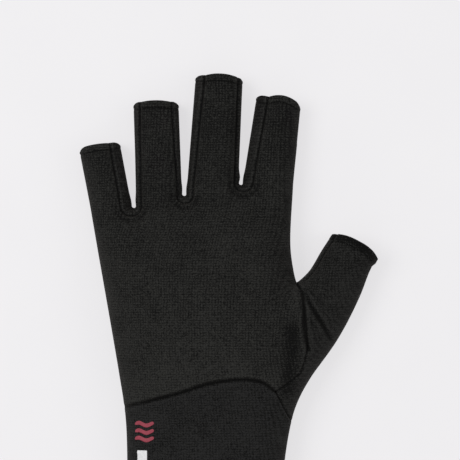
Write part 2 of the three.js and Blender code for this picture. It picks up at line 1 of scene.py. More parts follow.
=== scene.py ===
# %% [markdown]
# # A heated glove with open finger ends, dressed in Blender
# The glove is sewn from nine pieces of black stretch cloth: the back and the palm of the hand,
# three strips between the fingers, two pieces for the thumb and two for the cuff. A imported model
# already holds the nine pieces as plain walls. This notebook cuts the same nine pieces again
# from the same pattern, much finer, and adds what makes them cloth: rolled seams, puckers,
# creases, folded hems, stitches and a weave. The imported model is loaded first, and each of its
# pieces is hidden once its finer twin is sewn.

# %% Load the imported glove
import math
from types import SimpleNamespace

import bpy
import numpy as np
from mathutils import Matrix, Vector


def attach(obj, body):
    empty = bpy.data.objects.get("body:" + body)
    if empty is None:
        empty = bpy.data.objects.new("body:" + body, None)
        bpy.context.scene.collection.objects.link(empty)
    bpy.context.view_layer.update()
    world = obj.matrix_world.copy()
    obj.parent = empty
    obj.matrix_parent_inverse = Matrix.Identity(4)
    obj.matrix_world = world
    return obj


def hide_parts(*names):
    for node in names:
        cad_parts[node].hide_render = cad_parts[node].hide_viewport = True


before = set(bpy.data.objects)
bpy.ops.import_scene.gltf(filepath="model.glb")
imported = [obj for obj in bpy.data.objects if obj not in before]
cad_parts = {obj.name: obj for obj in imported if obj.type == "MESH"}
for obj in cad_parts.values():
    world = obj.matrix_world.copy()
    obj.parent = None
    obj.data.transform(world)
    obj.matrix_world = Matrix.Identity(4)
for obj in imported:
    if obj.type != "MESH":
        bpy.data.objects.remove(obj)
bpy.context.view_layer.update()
print("packed pieces:", ", ".join(sorted(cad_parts)))

# %% [markdown]
# ## The pattern's sizes
#
# A glove maker works from a flat pattern: lengths on paper, and the height that the worn shape
# reaches over the table. Both are kept here as named numbers in millimetres, the same ones that
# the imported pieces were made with. +Y runs from the cuff to the fingers and +X to the thumb.
# A table of rows is easier to change than hundreds of points, and each row can be read as
# something on the glove: a finger, a gap or a height up the hand.
# The gap in the seams is an exception: it is below 0, so the cut edges overlap by a hair, as a
# sewn seam does, and no light comes through. The thumb's open end is trimmed a little closer too.

# %% Sizes of cloth, cuff and hand
WALL = 2.0
SEAM_GAP = -0.02
HEM = 3.6
CUFF_HEM = 12.0
HEM_FOLD = 0.9
CUFF_LENGTH = 72.0
CUFF_WIDTH = 79.0
WRIST_WIDTH = 77.7
WRIST_STEP = 1.0
WRIST_HEIGHT = 50.0
SEAM_RISE = 14.0
PALM_LENGTH = 99.0
LITTLE_SIDE_LEAN = 9.9
LITTLE_SIDE_STEP = 2.7
FORK_RADIUS = 1.25
STRIP_CORNER = 2.5
OUTER_CORNER = 3.0
LITTLE_ROOT_RISE = 1.5
INDEX_ROOT_RISE = 12.0
HALF_GAP = SEAM_GAP / 2
END_ROUND = 0.6


def table_rows(columns, *rows):
    return [SimpleNamespace(**dict(zip(columns.split(), row))) for row in rows]


fingers = table_rows(
    "name root tip length lean fall arch",
    ("little", 22.0, 20.5, 31.5, 11.8, 0.8, 0.5),
    ("ring", 25.2, 22.6, 50.1, 1.9, 0.5, 0.7),
    ("middle", 28.3, 23.4, 57.3, -3.4, 0.0, 1.2),
    ("index", 26.1, 22.4, 43.0, -8.2, 2.0, 2.3),
)
forks = table_rows(
    "name rise below left_root left_tip right_root right_tip",
    ("little_ring", 0.0, 0.2, 5.2, 4.7, 2.4, 3.3),
    ("ring_middle", 6.0, 1.1, 2.0, 3.4, 2.8, 4.4),
    ("middle_index", 11.5, 0.0, 1.9, 2.2, 4.6, 5.7),
)
print("fingers:", ", ".join(f"{f.name} {f.length} mm" for f in fingers))

# %% Sizes of the thumb, and the heights
THUMB_FORK_HEIGHT = 61.7
THUMB_FORK_INSET = 1.6
THUMB_LENGTH = 30.7
THUMB_LEAN = 37.4
THUMB_TIP = 25.0
THUMB_FLARE = 0.75
THUMB_NOTCH = 1.6
THUMB_TO_HAND = 0.4
THUMB_TIP_SLOPE = 28.5
THUMB_TIP_ARCH = 2.8
THUMB_HEM = HEM + 0.4
THUMB_STRIP = 1.8
THUMB_INNER_BOW = 1.6
HAND_WAIST = 1.4
CROWN_REACH = 42.0
FOOT_ROUND = 1.2

palm_top = CUFF_LENGTH + PALM_LENGTH
fingers_top = palm_top + max(f.length for f in fingers)

# How far up the glove a row stands, the depth there, then mid, edge and crown as shares of the
# depth, and the width of the rounded side.
heights = table_rows(
    "level depth mid edge crown width",
    (0.0, 24.0, 0.42, 0.40, 0.18, 14.0),
    (WRIST_HEIGHT, 24.0, 0.42, 0.38, 0.20, 14.0),
    (CUFF_LENGTH + 0.3 * PALM_LENGTH, 28.0, 0.37, 0.35, 0.28, 15.0),
    (CUFF_LENGTH + 0.7 * PALM_LENGTH, 28.0, 0.36, 0.34, 0.30, 13.0),
    (CUFF_LENGTH + 1.08 * PALM_LENGTH, 18.0, 0.43, 0.45, 0.20, 9.5),
    (fingers_top, 15.0, 0.43, 0.47, 0.20, 9.0),
)
thumb_height = SimpleNamespace(depth=20.0, mid=0.42, edge=0.44, crown=0.25, width=11.0)

# Across the glove and up, as shares: of the cuff's width and SEAM_RISE, then of the way from the
# wrist to the thumb's corner, then of the thumb's length from its crotch.
cuff_seam_table = [(0, 0), (0.34, 0.54), (0.51, 0.86), (0.69, 1.0), (0.82, 0.91), (0.905, 0.55)]
SEAM_END = (1.0, -0.53)
thumb_side_table = [(0.091, 0), (0.166, 0.13), (0.285, 0.256), (0.593, 0.507)]
thumb_side_table += [(0.817, 0.758), (0.924, 0.915), (1, 1)]
thumb_seam_table = [(0, 0), (0.08, -0.16), (0.15, -0.72), (0.16, -1.1), (0.05, -1.45)]
print("the pattern reaches", fingers_top, "mm from the cuff's end to the middle finger's end")

# %% [markdown]
# ## Lines of the pattern
#
# Curved cuts are smooth lines through a few chosen points. A Catmull-Rom curve goes through its
# points, so each point can be read off the glove, and sampling it evenly by length keeps the
# cloth's grid even. Blender's curve objects could do it too, but plain arrays are faster when
# the same line is needed many times, as a cut, as a seam to sink and as a row of stitches.


# %% Lines and the points along them
STEPS_BETWEEN_POINTS = 40
ARC_STEPS = 18


def mix(a, b, share):
    return a + (b - a) * share


def ease(value, low, high):
    t = np.clip((value - low) / (high - low), 0.0, 1.0)
    return t * t * (3.0 - 2.0 * t)


def place(x, y):
    return np.array([x, y], float)


def line_length(line):
    return float(np.linalg.norm(np.diff(line, axis=0), axis=1).sum())


def shares_of(line):
    steps = np.linalg.norm(np.diff(line, axis=0), axis=1)
    reached = np.concatenate([[0.0], np.cumsum(steps)])
    return reached / reached[-1]


def along(line, shares):
    reached = shares_of(line)
    wanted = np.clip(shares, 0.0, 1.0)
    return np.stack([np.interp(wanted, reached, line[:, k]) for k in (0, 1)], axis=-1)


def smooth_line(points, steps):
    p = np.array(points, float)
    p = np.vstack([2 * p[:1] - p[1:2], p, 2 * p[-1:] - p[-2:-1]])
    t = np.linspace(0.0, 1.0, STEPS_BETWEEN_POINTS + 1)[:, None]
    fine = []
    for a, b, c, d in zip(p, p[1:], p[2:], p[3:]):
        before, here, after = (math.sqrt(np.linalg.norm(v)) for v in (b - a, c - b, d - c))
        leave = ((b - a) / before - (c - a) / (before + here) + (c - b) / here) * here
        reach = ((c - b) / here - (d - b) / (here + after) + (d - c) / after) * here
        bend = (2 * t**3 - 3 * t**2 + 1) * b + (t**3 - 2 * t**2 + t) * leave
        bend = bend + (3 * t**2 - 2 * t**3) * c + (t**3 - t**2) * reach
        fine.append(bend[:-1])
    fine.append(p[-2:-1])
    return along(np.vstack(fine), np.linspace(0.0, 1.0, steps + 1))


def part_at(line, height):
    i = int(np.argmax(line[:, 1] >= height))
    share = (height - line[i - 1, 1]) / (line[i, 1] - line[i - 1, 1])
    meet = mix(line[i - 1], line[i], share)[None]
    return np.vstack([line[:i], meet]), np.vstack([meet, line[i:]])


def lower_arc(centre, radius):
    turn = np.radians(np.linspace(-180, 0, ARC_STEPS + 1))
    return centre + radius * np.stack([np.cos(turn), np.sin(turn)], axis=-1)


def beside(line, shares, side):
    a_bit = 0.002
    run = along(line, shares + a_bit) - along(line, shares - a_bit)
    aside = np.stack([-run[:, 1], run[:, 0]], axis=-1)
    return along(line, shares) + aside / np.linalg.norm(aside, axis=1)[:, None] * side * HALF_GAP


half_circle = lower_arc(place(0, 0), 10)
print("half a circle 20 mm wide measures", round(line_length(half_circle), 2), "mm")

# %% [markdown]
# ## Where the fingers and the thumb stand
#
# On the real glove the fingers fan out from the knuckles, and the thumb's piece is set into the
# side of the hand. Each finger gets its own pair of directions, up and across, so every later
# cell can speak of a finger's end or its left side without any trigonometry.

# %% The knuckles and the fingers
outer_bend = CUFF_LENGTH + 0.09 * PALM_LENGTH
outer_straight = CUFF_LENGTH + 0.17 * PALM_LENGTH


def outer_side(y):
    lean = math.tan(math.radians(LITTLE_SIDE_LEAN))
    return place(-WRIST_WIDTH / 2 - LITTLE_SIDE_STEP - (y - outer_bend) * lean, y)


knuckles = [outer_side(palm_top + LITTLE_ROOT_RISE)]
for finger, rise in zip(fingers, [*(fork.rise for fork in forks), INDEX_ROOT_RISE]):
    knuckles.append(place(knuckles[-1][0] + finger.root, palm_top + rise))
little_root = knuckles[0]
index_root = knuckles[-1]

for j, finger in enumerate(fingers):
    lean = math.radians(finger.lean)
    finger.up = place(-math.sin(lean), math.cos(lean))
    finger.across = place(math.cos(lean), math.sin(lean))
    end = mix(knuckles[j], knuckles[j + 1], 0.5) + finger.up * finger.length
    to_right = finger.across * finger.tip / 2 - finger.up * finger.fall / 2
    finger.left_tip = end - to_right
    finger.right_tip = end + to_right
    finger.left_corner = OUTER_CORNER if j == 0 else STRIP_CORNER
    finger.right_corner = OUTER_CORNER if j == len(fingers) - 1 else STRIP_CORNER
    finger.left_end = finger.left_tip - finger.up * finger.left_corner
    finger.right_end = finger.right_tip - finger.up * finger.right_corner

for j, fork in enumerate(forks):
    fork.centre = knuckles[j + 1] + place(0, FORK_RADIUS)
    fork.bottom = lower_arc(fork.centre, FORK_RADIUS)
    fork.seam_centre = fork.centre + place((fork.right_root - fork.left_root) / 2, -fork.below)
    fork.left = fingers[j]
    fork.right = fingers[j + 1]
print("knuckles:", [tuple(float(v) for v in np.round(k, 1)) for k in knuckles])

# %% The thumb and the outlines
thumb_fork = place(index_root[0] + THUMB_FORK_INSET, CUFF_LENGTH + THUMB_FORK_HEIGHT)
thumb_up = place(math.sin(math.radians(THUMB_LEAN)), math.cos(math.radians(THUMB_LEAN)))
thumb_aside = place(thumb_up[1], -thumb_up[0])
slope = math.radians(THUMB_TIP_SLOPE)
thumb_end_run = place(math.cos(slope), -math.sin(slope))
thumb_inner_tip = thumb_fork + thumb_up * THUMB_LENGTH - thumb_end_run * THUMB_TO_HAND
thumb_end_out = place(-thumb_end_run[1], thumb_end_run[0])
thumb_outer_tip = thumb_inner_tip + thumb_end_run * THUMB_TIP
thumb_end_width = THUMB_TIP + THUMB_FLARE


def thumb_end(shares):
    shares = np.atleast_1d(np.asarray(shares, float))[:, None]
    bulge = THUMB_TIP_ARCH * (1 - np.abs(2 * shares - 1) ** 3)
    return thumb_inner_tip + thumb_end_run * shares * thumb_end_width + thumb_end_out * bulge


right_wrist = place(WRIST_WIDTH / 2, 0.7 * WRIST_HEIGHT)
seam_end_height = CUFF_LENGTH + SEAM_END[1] * SEAM_RISE
thumb_points = [
    place(mix(right_wrist[0], thumb_outer_tip[0], out), mix(seam_end_height, thumb_outer_tip[1], up))
    for out, up in thumb_side_table
]
bare_side = smooth_line([place(CUFF_WIDTH / 2, 0), right_wrist, *thumb_points], 480)

# The thumb's corner keeps every point of the line, and the rest every fourth one.
corner_steps = 40
bare_side = np.vstack([bare_side[:-corner_steps:4], bare_side[-corner_steps:]])
to_corner = np.linalg.norm(bare_side - thumb_outer_tip, axis=1)
flare = 1 - ease(to_corner, HEM, HEM + THUMB_NOTCH)
inner_side = bare_side + thumb_end_run * (flare * THUMB_FLARE)[:, None]
left_side = smooth_line(
    [
        place(-CUFF_WIDTH / 2, 0),
        place(-WRIST_WIDTH / 2, WRIST_HEIGHT),
        place(-WRIST_WIDTH / 2 - WRIST_STEP, mix(WRIST_HEIGHT, CUFF_LENGTH, 0.85)),
        outer_side(outer_straight),
        little_root,
    ],
    90,
)
cuff_right, thumb_side = part_at(inner_side, seam_end_height)
cuff_left, hand_left = part_at(left_side, CUFF_LENGTH)
hand_side = smooth_line(
    [
        thumb_fork,
        place(mix(index_root[0], thumb_fork[0], 0.75), mix(index_root[1], thumb_fork[1], 0.975)),
        place(mix(index_root[0], thumb_fork[0], 0.05), mix(index_root[1], thumb_fork[1], 0.875)),
        place(index_root[0] - HAND_WAIST, mix(index_root[1], thumb_fork[1], 0.62)),
        index_root,
    ],
    40,
)


def inner_point(share, bow):
    return thumb_fork + thumb_up * share * THUMB_LENGTH + thumb_aside * bow * THUMB_INNER_BOW


inner_points = [inner_point(0.04, 0.3), inner_point(0.28, 1), inner_point(0.67, 0.2)]
thumb_inner = smooth_line([thumb_fork, *inner_points, thumb_inner_tip], 40)
print("thumb's crotch", np.round(thumb_fork, 1), "and outer corner", np.round(thumb_outer_tip, 1))

# %% The seams


def by_thumb(points):
    return np.array([thumb_fork + place(x, y) * THUMB_LENGTH for x, y in points])


cuff_seam = smooth_line(
    [
        place(mix(cuff_left[-1, 0], cuff_right[-1, 0], across), CUFF_LENGTH + up * SEAM_RISE)
        for across, up in cuff_seam_table
    ],
    40,
)
seam_corner = cuff_seam[-1]
corner_seam = np.array([seam_corner, cuff_right[-1]])
thumb_seam = smooth_line([*by_thumb(thumb_seam_table), seam_corner], 60)
thumb_seam_length = line_length(thumb_seam)


def fork_seam(fork, offset):
    radius = FORK_RADIUS + (fork.left_root + fork.right_root) / 2 + offset
    return lower_arc(fork.seam_centre, radius)


for fork in forks:
    left_tip = fork.left.right_tip - fork.left.across * fork.left_tip
    right_tip = fork.right.left_tip + fork.right.across * fork.right_tip
    fork.seam = np.vstack([left_tip, fork_seam(fork, 0.0), right_tip])
print("cuff seam", round(line_length(cuff_seam), 1), "mm, thumb seam", round(thumb_seam_length, 1), "mm")

# %% [markdown]
# ## The worn shape over the table
#
# A glove lying on its palm is flat below, round along every side and gently arched on its back.
# One rule makes that shape for every piece: the distance to the glove's outlines says how high
# the cloth stands. Where several outlines are near, as in a finger, their distances are blended
# so that the finger's back is round. Shaping it by hand with sculpt tools would look as soft,
# but neighbouring pieces would not meet along their seams, and here they always do.

# %% Distance to the outlines
ONWARD = 12.0
AT_ONCE = 2000

# The columns of what nearest() finds: how far, the way from the line, and the line's left.
DISTANCE = 0
AWAY = slice(1, 3)
LEFT = slice(3, 5)


# Every outline runs on past its ends, away from a point before each end, so that the cloth's
# height there is not rounded off.
def run_on(line, before_start, before_end):
    start = line[0] - before_start
    end = line[-1] - before_end
    first = line[0] + start / np.linalg.norm(start) * ONWARD
    last = line[-1] + end / np.linalg.norm(end) * ONWARD
    return np.vstack([first, line, last])


def nearest(line, at):
    start = line[:-1]
    run = np.diff(line, axis=0)
    long = (run**2).sum(1)
    kept = long > 1e-12
    start, run, long = start[kept], run[kept], long[kept]
    found = []
    for part in np.array_split(at, max(1, len(at) // AT_ONCE)):
        rel = part[:, None] - start
        t = np.clip((rel * run).sum(2) / long, 0.0, 1.0)
        away = rel - t[..., None] * run
        squared = (away**2).sum(2)
        k = squared.argmin(1)
        rows = np.arange(len(part))
        left = np.stack([-run[k, 1], run[k, 0]], axis=-1) / np.sqrt(long[k])[:, None]
        found.append(np.hstack([np.sqrt(squared[rows, k])[:, None], away[rows, k], left]))
    return np.vstack(found)


outer_outline = np.vstack([fingers[0].left_end, left_side[::-1]])
crotch_outline = np.vstack([thumb_inner[::-1], hand_side[1:], fingers[-1].right_end])
sides = [
    run_on(outer_outline, little_root, left_side[5]),
    run_on(inner_side, inner_side[5], inner_side[-33]),
    run_on(crotch_outline, thumb_fork, index_root),
]
for fork in forks:
    gap_outline = np.vstack([fork.right.left_end, fork.bottom[::-1], fork.left.right_end])
    sides.append(run_on(gap_outline, fork.bottom[-1], fork.bottom[0]))

middle = np.array([[0.0, 120.0]])
to_outer_side = float(nearest(sides[0], middle)[0, DISTANCE])
print("the middle of the hand is", round(to_outer_side, 1), "mm from its outer side")

# %% Blended distance, and the strip beside the thumb's edge
BLEND = 4.0
TURN_BLEND = 5
ON_THE_LINE = 1e-4
JUST_OUTSIDE = 0.6
STRIP_BEGINS = 5.0


def from_sides(at, on_edge):
    found = np.stack([nearest(line, at) for line in sides])
    d = found[..., DISTANCE]
    rows = np.arange(len(at))
    side_of = d.argmin(0)
    inward = found[side_of, rows, LEFT]
    outside = (found[side_of, rows, AWAY] * inward).sum(1) < 0
    safe = np.maximum(d, 1e-6)
    blended = (safe**-BLEND).sum(0) ** (-1 / BLEND)
    weight = (blended / safe) ** TURN_BLEND / safe
    way = (weight[..., None] * found[..., AWAY]).sum(0)
    edge = on_edge | (d.min(0) < ON_THE_LINE) | (outside & (d.min(0) < JUST_OUTSIDE))
    sewn = (side_of < 2) | ((side_of == 2) & (at[:, 0] < thumb_fork[0] + 0.3))
    return np.where(edge, 0.0, blended), np.where(edge[:, None], inward, way), sewn


def beside_inner(strip, share):
    line = along(thumb_inner, share)
    aside = nearest(thumb_inner[::-1], line)[:, LEFT] * strip
    start = beside(thumb_seam, np.array([strip / thumb_seam_length]), 1)[0] - thumb_fork
    line = line + mix(start, aside, ease(share * THUMB_LENGTH, 0.0, STRIP_BEGINS)[:, None])
    line[-1] = thumb_end(strip / thumb_end_width)[0] - thumb_end_out * END_ROUND
    return line


thumb_strip_seam = beside_inner(THUMB_STRIP, np.linspace(0.0, 1.0, 60))
print("the thumb's strip seam is", round(line_length(thumb_strip_seam), 1), "mm long")

# %% Heights at a place
UNSEWN = 99.0


def in_mm(row):
    return [row.mid * row.depth, row.edge * row.depth, row.crown * row.depth, row.width]


levels = np.array([row.level for row in heights])
sections = np.array([in_mm(row) for row in heights])
thumb_section = np.array(in_mm(thumb_height))


def section_at(at):
    above = np.searchsorted(levels, at[:, 1], side="right")
    b = np.minimum(above, len(levels) - 1)
    a = np.clip(above - 1, 0, len(levels) - 1)
    level_b = np.where(a == b, levels[a] + 1, levels[b])
    share = np.where(a == b, 0.0, ease(at[:, 1], levels[a], level_b))
    to_thumb = ease(at[:, 0], thumb_fork[0], mix(thumb_inner_tip[0], thumb_outer_tip[0], 0.4))
    hand = mix(sections[a], sections[b], share[:, None])
    return mix(hand, thumb_section, to_thumb[:, None]).T


def shell(at, side, on_edge, gap):
    d, way, sewn = from_sides(at, on_edge)
    mid, edge, crown, width = section_at(at)
    outwards = np.maximum(0.0, 1 - d / np.where(side > 0, width, FOOT_ROUND * mid))
    upwards = np.sqrt(1 - outwards**2)
    swell = crown * (1 - np.maximum(0.0, 1 - d / CROWN_REACH) ** 2)
    back = mid + gap / 2 + edge * upwards + swell
    palm = (mid - gap / 2) * (1 - upwards)
    out = np.column_stack([-way * outwards[:, None], side * upwards])
    out /= np.linalg.norm(out, axis=1)[:, None]
    points = np.column_stack([at, np.where(side > 0, back, palm)])
    to_side_seam = np.where(sewn, np.abs(points[:, 2] - mid), UNSEWN)
    return points, out, upwards, to_side_seam


top = shell(middle, np.array([1.0]), np.array([False]), 0.0)[0]
print("the back stands", round(float(top[0, 2]), 1), "mm over the table in the middle of the hand")

# %% [markdown]
# ## What seams, hems and creases do to the cloth
#
# Where two pieces are sewn, their edges turn in and the cloth rolls down into a groove. Beside
# it the turned edge makes a thin ridge, and round the bottom of a gap, where the cloth is
# gathered, it puckers. All of this is a small move of the face along its own normal, worked out
# from the distance to each seam. A texture displacement could do the same, but a seam is a
# line, and the distance to a line is sharper than any image and works at every size.

# %% The relief of seams and puckers


def dent(distance, width):
    return np.exp(-((distance / width) ** 2))


def away_from(line, at):
    return nearest(line, at)[:, DISTANCE]


def groove(distance, deep, wide, ridge, ridge_off, ridge_wide):
    return ridge * dent(distance - ridge_off, ridge_wide) - deep * dent(distance, wide)


# Two depths for each seam, at the crotch and low on the hand; the last column says how much of
# the groove is left right at the crotch, where a bar of stitches holds the cloth.
seam_forms = table_rows(
    "line deep deep_below wide ridge ridge_off ridge_wide at_crotch",
    (thumb_seam, 0.8, 0.42, 0.6, 0.14, 1.15, 0.5, 0.0),
    (thumb_strip_seam, 0.5, 0.5, 0.5, 0.16, 0.9, 0.35, 0.0),
    (cuff_seam, 0.8, 0.8, 0.8, 0.16, 1.9, 0.8, 1.0),
    (corner_seam, 0.55, 0.55, 0.55, 0.3, 0.95, 0.35, 1.0),
)
PUCKERS = 17
PUCKER_DRIFT = 0.9


def gap_seam_relief(fork, at, strip):
    d = away_from(fork.seam, at)
    ridge = 0.36 if strip else 0.13
    move = groove(d, deep=0.66, wide=0.55, ridge=ridge, ridge_off=1.05, ridge_wide=0.4)
    rel = at - fork.seam_centre
    turn = np.arctan2(rel[:, 1], rel[:, 0])
    below = ease(-rel[:, 1], -1.5, 1.0)
    puckers = np.cos(PUCKERS * turn + PUCKER_DRIFT * np.sin(3 * turn)) * dent(d - 1.5, 1.3)
    hollow = 0.0 if strip else 0.34
    height = 0.3 if strip else 0.2
    return move + (height * puckers - hollow * dent(d - 2.5, 1.1)) * below


def seams_relief(at, strip):
    move = sum(gap_seam_relief(fork, at, strip) for fork in forks)
    lower = ease(thumb_fork[1] - at[:, 1], 2.0, 14.0)
    from_crotch = ease(np.linalg.norm(at - thumb_fork, axis=1), 1.5, 7.0)
    for seam in seam_forms:
        deep = mix(seam.deep, seam.deep_below, lower)
        d = away_from(seam.line, at)
        sunk = groove(d, deep, seam.wide, seam.ridge, seam.ridge_off, seam.ridge_wide)
        move += sunk * mix(seam.at_crotch, 1.0, from_crotch)
    return move


seam_point = along(forks[1].seam, np.array([0.5]))
print("a finger seam moves", np.round(seams_relief(seam_point, False), 2), "mm")

# %% Where the strips are gathered
WEB_BULGE = 0.3
THUMB_SIDE_WEB_BULGE = 0.4
WEB_HEIGHT = 2.5
WEB_SPREAD = 3.0
RIGHT_BULGE = 0.22
WEB_REACH = 11.0


# At the bottom of a gap the strips bulge into it, most of all by the index finger.
def gathered_relief(at):
    move = np.zeros(len(at))
    for fork in forks:
        rel = at - fork.centre
        more = THUMB_SIDE_WEB_BULGE * (fork is forks[-1]) * ease(-rel[:, 0], 0.0, 0.8)
        web = (WEB_BULGE + more) * dent(rel[:, 1] - WEB_HEIGHT, WEB_SPREAD)
        web += RIGHT_BULGE * ease(rel[:, 0], 0.4, 1.4)
        move += np.where(np.abs(rel[:, 0]) < WEB_REACH, web, 0.0)
    return move


print("the strips bulge by", WEB_BULGE, "mm at the bottom of a gap")

# %% [markdown]
# ## Creases
#
# Stretch cloth that has been worn keeps a few creases: two long ones run down from the thumb's
# crotch, short ones fan beside them, and the cuff shows two thin diagonal pulls at its outer
# side. Each crease is a short curve with a depth and a width, and its two lips stand up a
# little. Simulating the cloth would give other creases on every run, and these ones are the
# ones that this glove has.

# %% The relief of creases
BROAD = 2.0
LIP = 0.34

# The points are in thumb lengths from the crotch; depth and width are in millimetres.
creases = table_rows(
    "points depth width",
    ([(0.05, -0.10), (0.10, -0.30), (0.115, -0.55), (0.14, -0.86), (0.19, -1.08)], 0.95, 0.95),
    ([(0.11, -0.12), (0.20, -0.32), (0.325, -0.53), (0.45, -0.73), (0.57, -0.95)], 0.85, 0.95),
    ([(0.17, -0.09), (0.22, -0.14), (0.27, -0.20)], 0.5, 0.6),
    ([(0.01, -0.13), (0.045, -0.32), (0.05, -0.48)], 0.4, 0.7),
    ([(-0.08, -0.79), (-0.10, -1.15), (-0.13, -1.70)], 0.75, 4.2),
)
for crease in creases:
    crease.line = smooth_line(by_thumb(crease.points), 6 * len(crease.points))
    crease.lip = LIP if crease.width < BROAD else 0.0

cuff_pulls = [
    np.array([(-38.4, 69.3), (-36.5, 65.9), (-34.6, 62.6)]),
    np.array([(-37.9, 55.6), (-35.8, 52.1), (-33.4, 49.2)]),
]


def creases_relief(at):
    move = np.zeros(len(at))
    for crease in creases:
        depth, width = crease.depth, crease.width
        d = away_from(crease.line, at)
        move += groove(d, depth, width, crease.lip * depth, ridge_off=2.1 * width, ridge_wide=0.9 * width)
    for line in cuff_pulls:
        d = away_from(line, at)
        move += groove(d, deep=-0.3, wide=0.7, ridge=-0.12, ridge_off=1.6, ridge_wide=0.8)
    return move


print(len(creases), "creases and", len(cuff_pulls), "pulls in the cuff")

# %% Slow swells
# They keep the cloth from looking like sheet metal. A swell's crests wander a little sideways.
WANDER = 0.8
WANDER_LENGTH = 11.0
swells = table_rows(
    "length degrees height",
    (31.0, 20, 0.16),
    (23.0, 105, 0.13),
    (17.0, 64, 0.09),
    (12.5, 150, 0.06),
    (9.0, 5, 0.035),
)


def swells_relief(at):
    move = np.zeros(len(at))
    for i, swell in enumerate(swells):
        turn = math.radians(swell.degrees)
        travel = at @ place(math.cos(turn), math.sin(turn))
        across = at @ place(-math.sin(turn), math.cos(turn))
        wander = 1.7 * i + WANDER * np.sin(across / WANDER_LENGTH)
        move += swell.height * np.sin(2 * math.pi * travel / swell.length + wander)
    return move


print("swells up to", max(swell.height for swell in swells), "mm high")

# %% [markdown]
# ## Hems
#
# Every open end is folded in once and sewn, which makes it thicker than the rest: the cloth
# swells a little over the fold and sinks under its line of stitches. On the thumb the fold also
# spreads outwards at the outer corner, with a small notch where it begins. The distance from
# the open end tells where the fold begins, so one rule serves all five openings and the cuff.

# %% The relief of hems


def corner_drop(away, radius):
    return radius - np.sqrt(radius**2 - np.maximum(0.0, radius - away) ** 2)


def end_drop(finger, away):
    return corner_drop(away, finger.left_corner) + corner_drop(finger.tip - away, finger.right_corner)


def end_place(finger, away):
    chord = mix(finger.left_tip, finger.right_tip, (away / finger.tip)[..., None])
    return chord - finger.up * end_drop(finger, away)[..., None]


def end_from_left(finger, before, after, shares):
    left = before.right_tip if before else 0.0
    right = after.left_tip if after else 0.0
    return mix(left, finger.tip - right, shares)


def finger_end(finger, before, after, shares, rounded=True):
    away = end_from_left(finger, before, after, shares)
    line = end_place(finger, away) + finger.up * (finger.arch * (1 - (2 * shares - 1) ** 2))[:, None]
    return line if rounded else line + finger.up * end_drop(finger, away)[:, None]


neighbours = list(zip(fingers, [None, *forks], [*forks, None]))
end_lines = []
for finger, before, after in neighbours:
    over_panel = finger_end(finger, before, after, np.linspace(0, 1, 30), rounded=False)
    end_lines.append(np.vstack([finger.left_tip, over_panel, finger.right_tip]))
thumb_end_line = thumb_end(np.linspace(0, 1, 40))
cuff_end_line = np.array([cuff_left[0], cuff_right[0]])


hem_forms = table_rows(
    "line deep fold swell sink wide",
    *((line, HEM, 0.9, 0.13, 0.26, 0.42) for line in end_lines),
    (thumb_end_line, THUMB_HEM, 0.8, 0.16, 0.34, 0.5),
    (cuff_end_line, CUFF_HEM, 0.9, 0.15, 0.3, 0.5),
)


def hems_relief(at):
    move = np.zeros(len(at))
    for hem in hem_forms:
        d = away_from(hem.line, at)
        move += hem.swell * (1 - ease(d, hem.deep - hem.fold, hem.deep - 0.1))
        move -= hem.sink * dent(d - hem.deep, hem.wide)
    return move


print("hems are", HEM, "mm deep on fingers and thumb, and", CUFF_HEM, "mm on the cuff")

# %% All relief together
# The face's move, and the look: above 0 the cloth gets a painted highlight, below 0 painted
# shade. The palm's cloth keeps clear of the table.
UNDER_CLEAR = 0.3
FLAT_GAIN = 1.7
FULL_LOOK = 0.5
DARKEST_LOOK = -1.7
STRIP_SHADE = 0.32
OVERSEWN_SHADE = 0.35
OVERSEWN_REACH = 35.0
THUMB_FOLD_SHADE = 1.6


def relief(at, side, upwards, to_side_seam, strip):
    flat = np.clip(FLAT_GAIN * upwards, 0.0, 1.0)
    seams = seams_relief(at, strip)
    folds = creases_relief(at) * upwards**2
    swell = swells_relief(at)
    hems = hems_relief(at)
    rolled = groove(to_side_seam, deep=0.3, wide=0.4, ridge=0.2, ridge_off=1.1, ridge_wide=0.5)
    back = seams * flat + folds + swell * upwards**2 + hems + rolled
    under = np.minimum(0.0, (seams + swell - UNDER_CLEAR) * flat) + np.minimum(hems, 0.0) * flat
    gathered = gathered_relief(at) * strip * ease(1 - upwards, 0.2, 0.9)
    move = np.where(side > 0, back, under + rolled) + gathered

    over_thumb_hem = np.maximum(0.0, away_from(thumb_end_line, at) - HEM + 0.6)
    seam_reach = ease(OVERSEWN_REACH - np.abs(at[:, 0]), 3.0, 8.0)
    # Painted light and shade in the colour: ridges beside seams, over hems and beside creases get a
    # painted highlight; grooves, creases, the line under a hem, the band along the cuff seam, the strips'
    # lower sides and the thumb's fold get painted shade.
    look = (seams + 1.3 * hems) * flat + folds + rolled
    look -= OVERSEWN_SHADE * dent(away_from(cuff_seam, at), 0.95) * seam_reach
    look -= STRIP_SHADE * strip * (1 - ease(upwards, 0.05, 0.75))
    look = np.clip(look / FULL_LOOK, DARKEST_LOOK, 1.0)
    return move, look - THUMB_FOLD_SHADE * dent(over_thumb_hem, 0.3)


seam_look = relief(seam_point, np.ones(1), np.ones(1), np.full(1, UNSEWN), False)[1]
print("down in a finger seam the cloth is shaded by", round(float(-seam_look[0]), 2))

# %% [markdown]
# ## Cutting and sewing one piece
#
# A piece of cloth is a grid of points over its place in the pattern. The grid's lines follow the
# cuts, closer together along seams and rounded sides, where the cloth bends most. Filling a
# four-sided patch between its edges, as a Coons patch does, keeps those lines smooth. The face
# then gets its thickness: a second face inside it, and a rim between the two that is round
# where the cloth is folded over. A Solidify modifier would be quicker to write, but it can't
# make the folded hems thicker than the rest or round only the open ends.

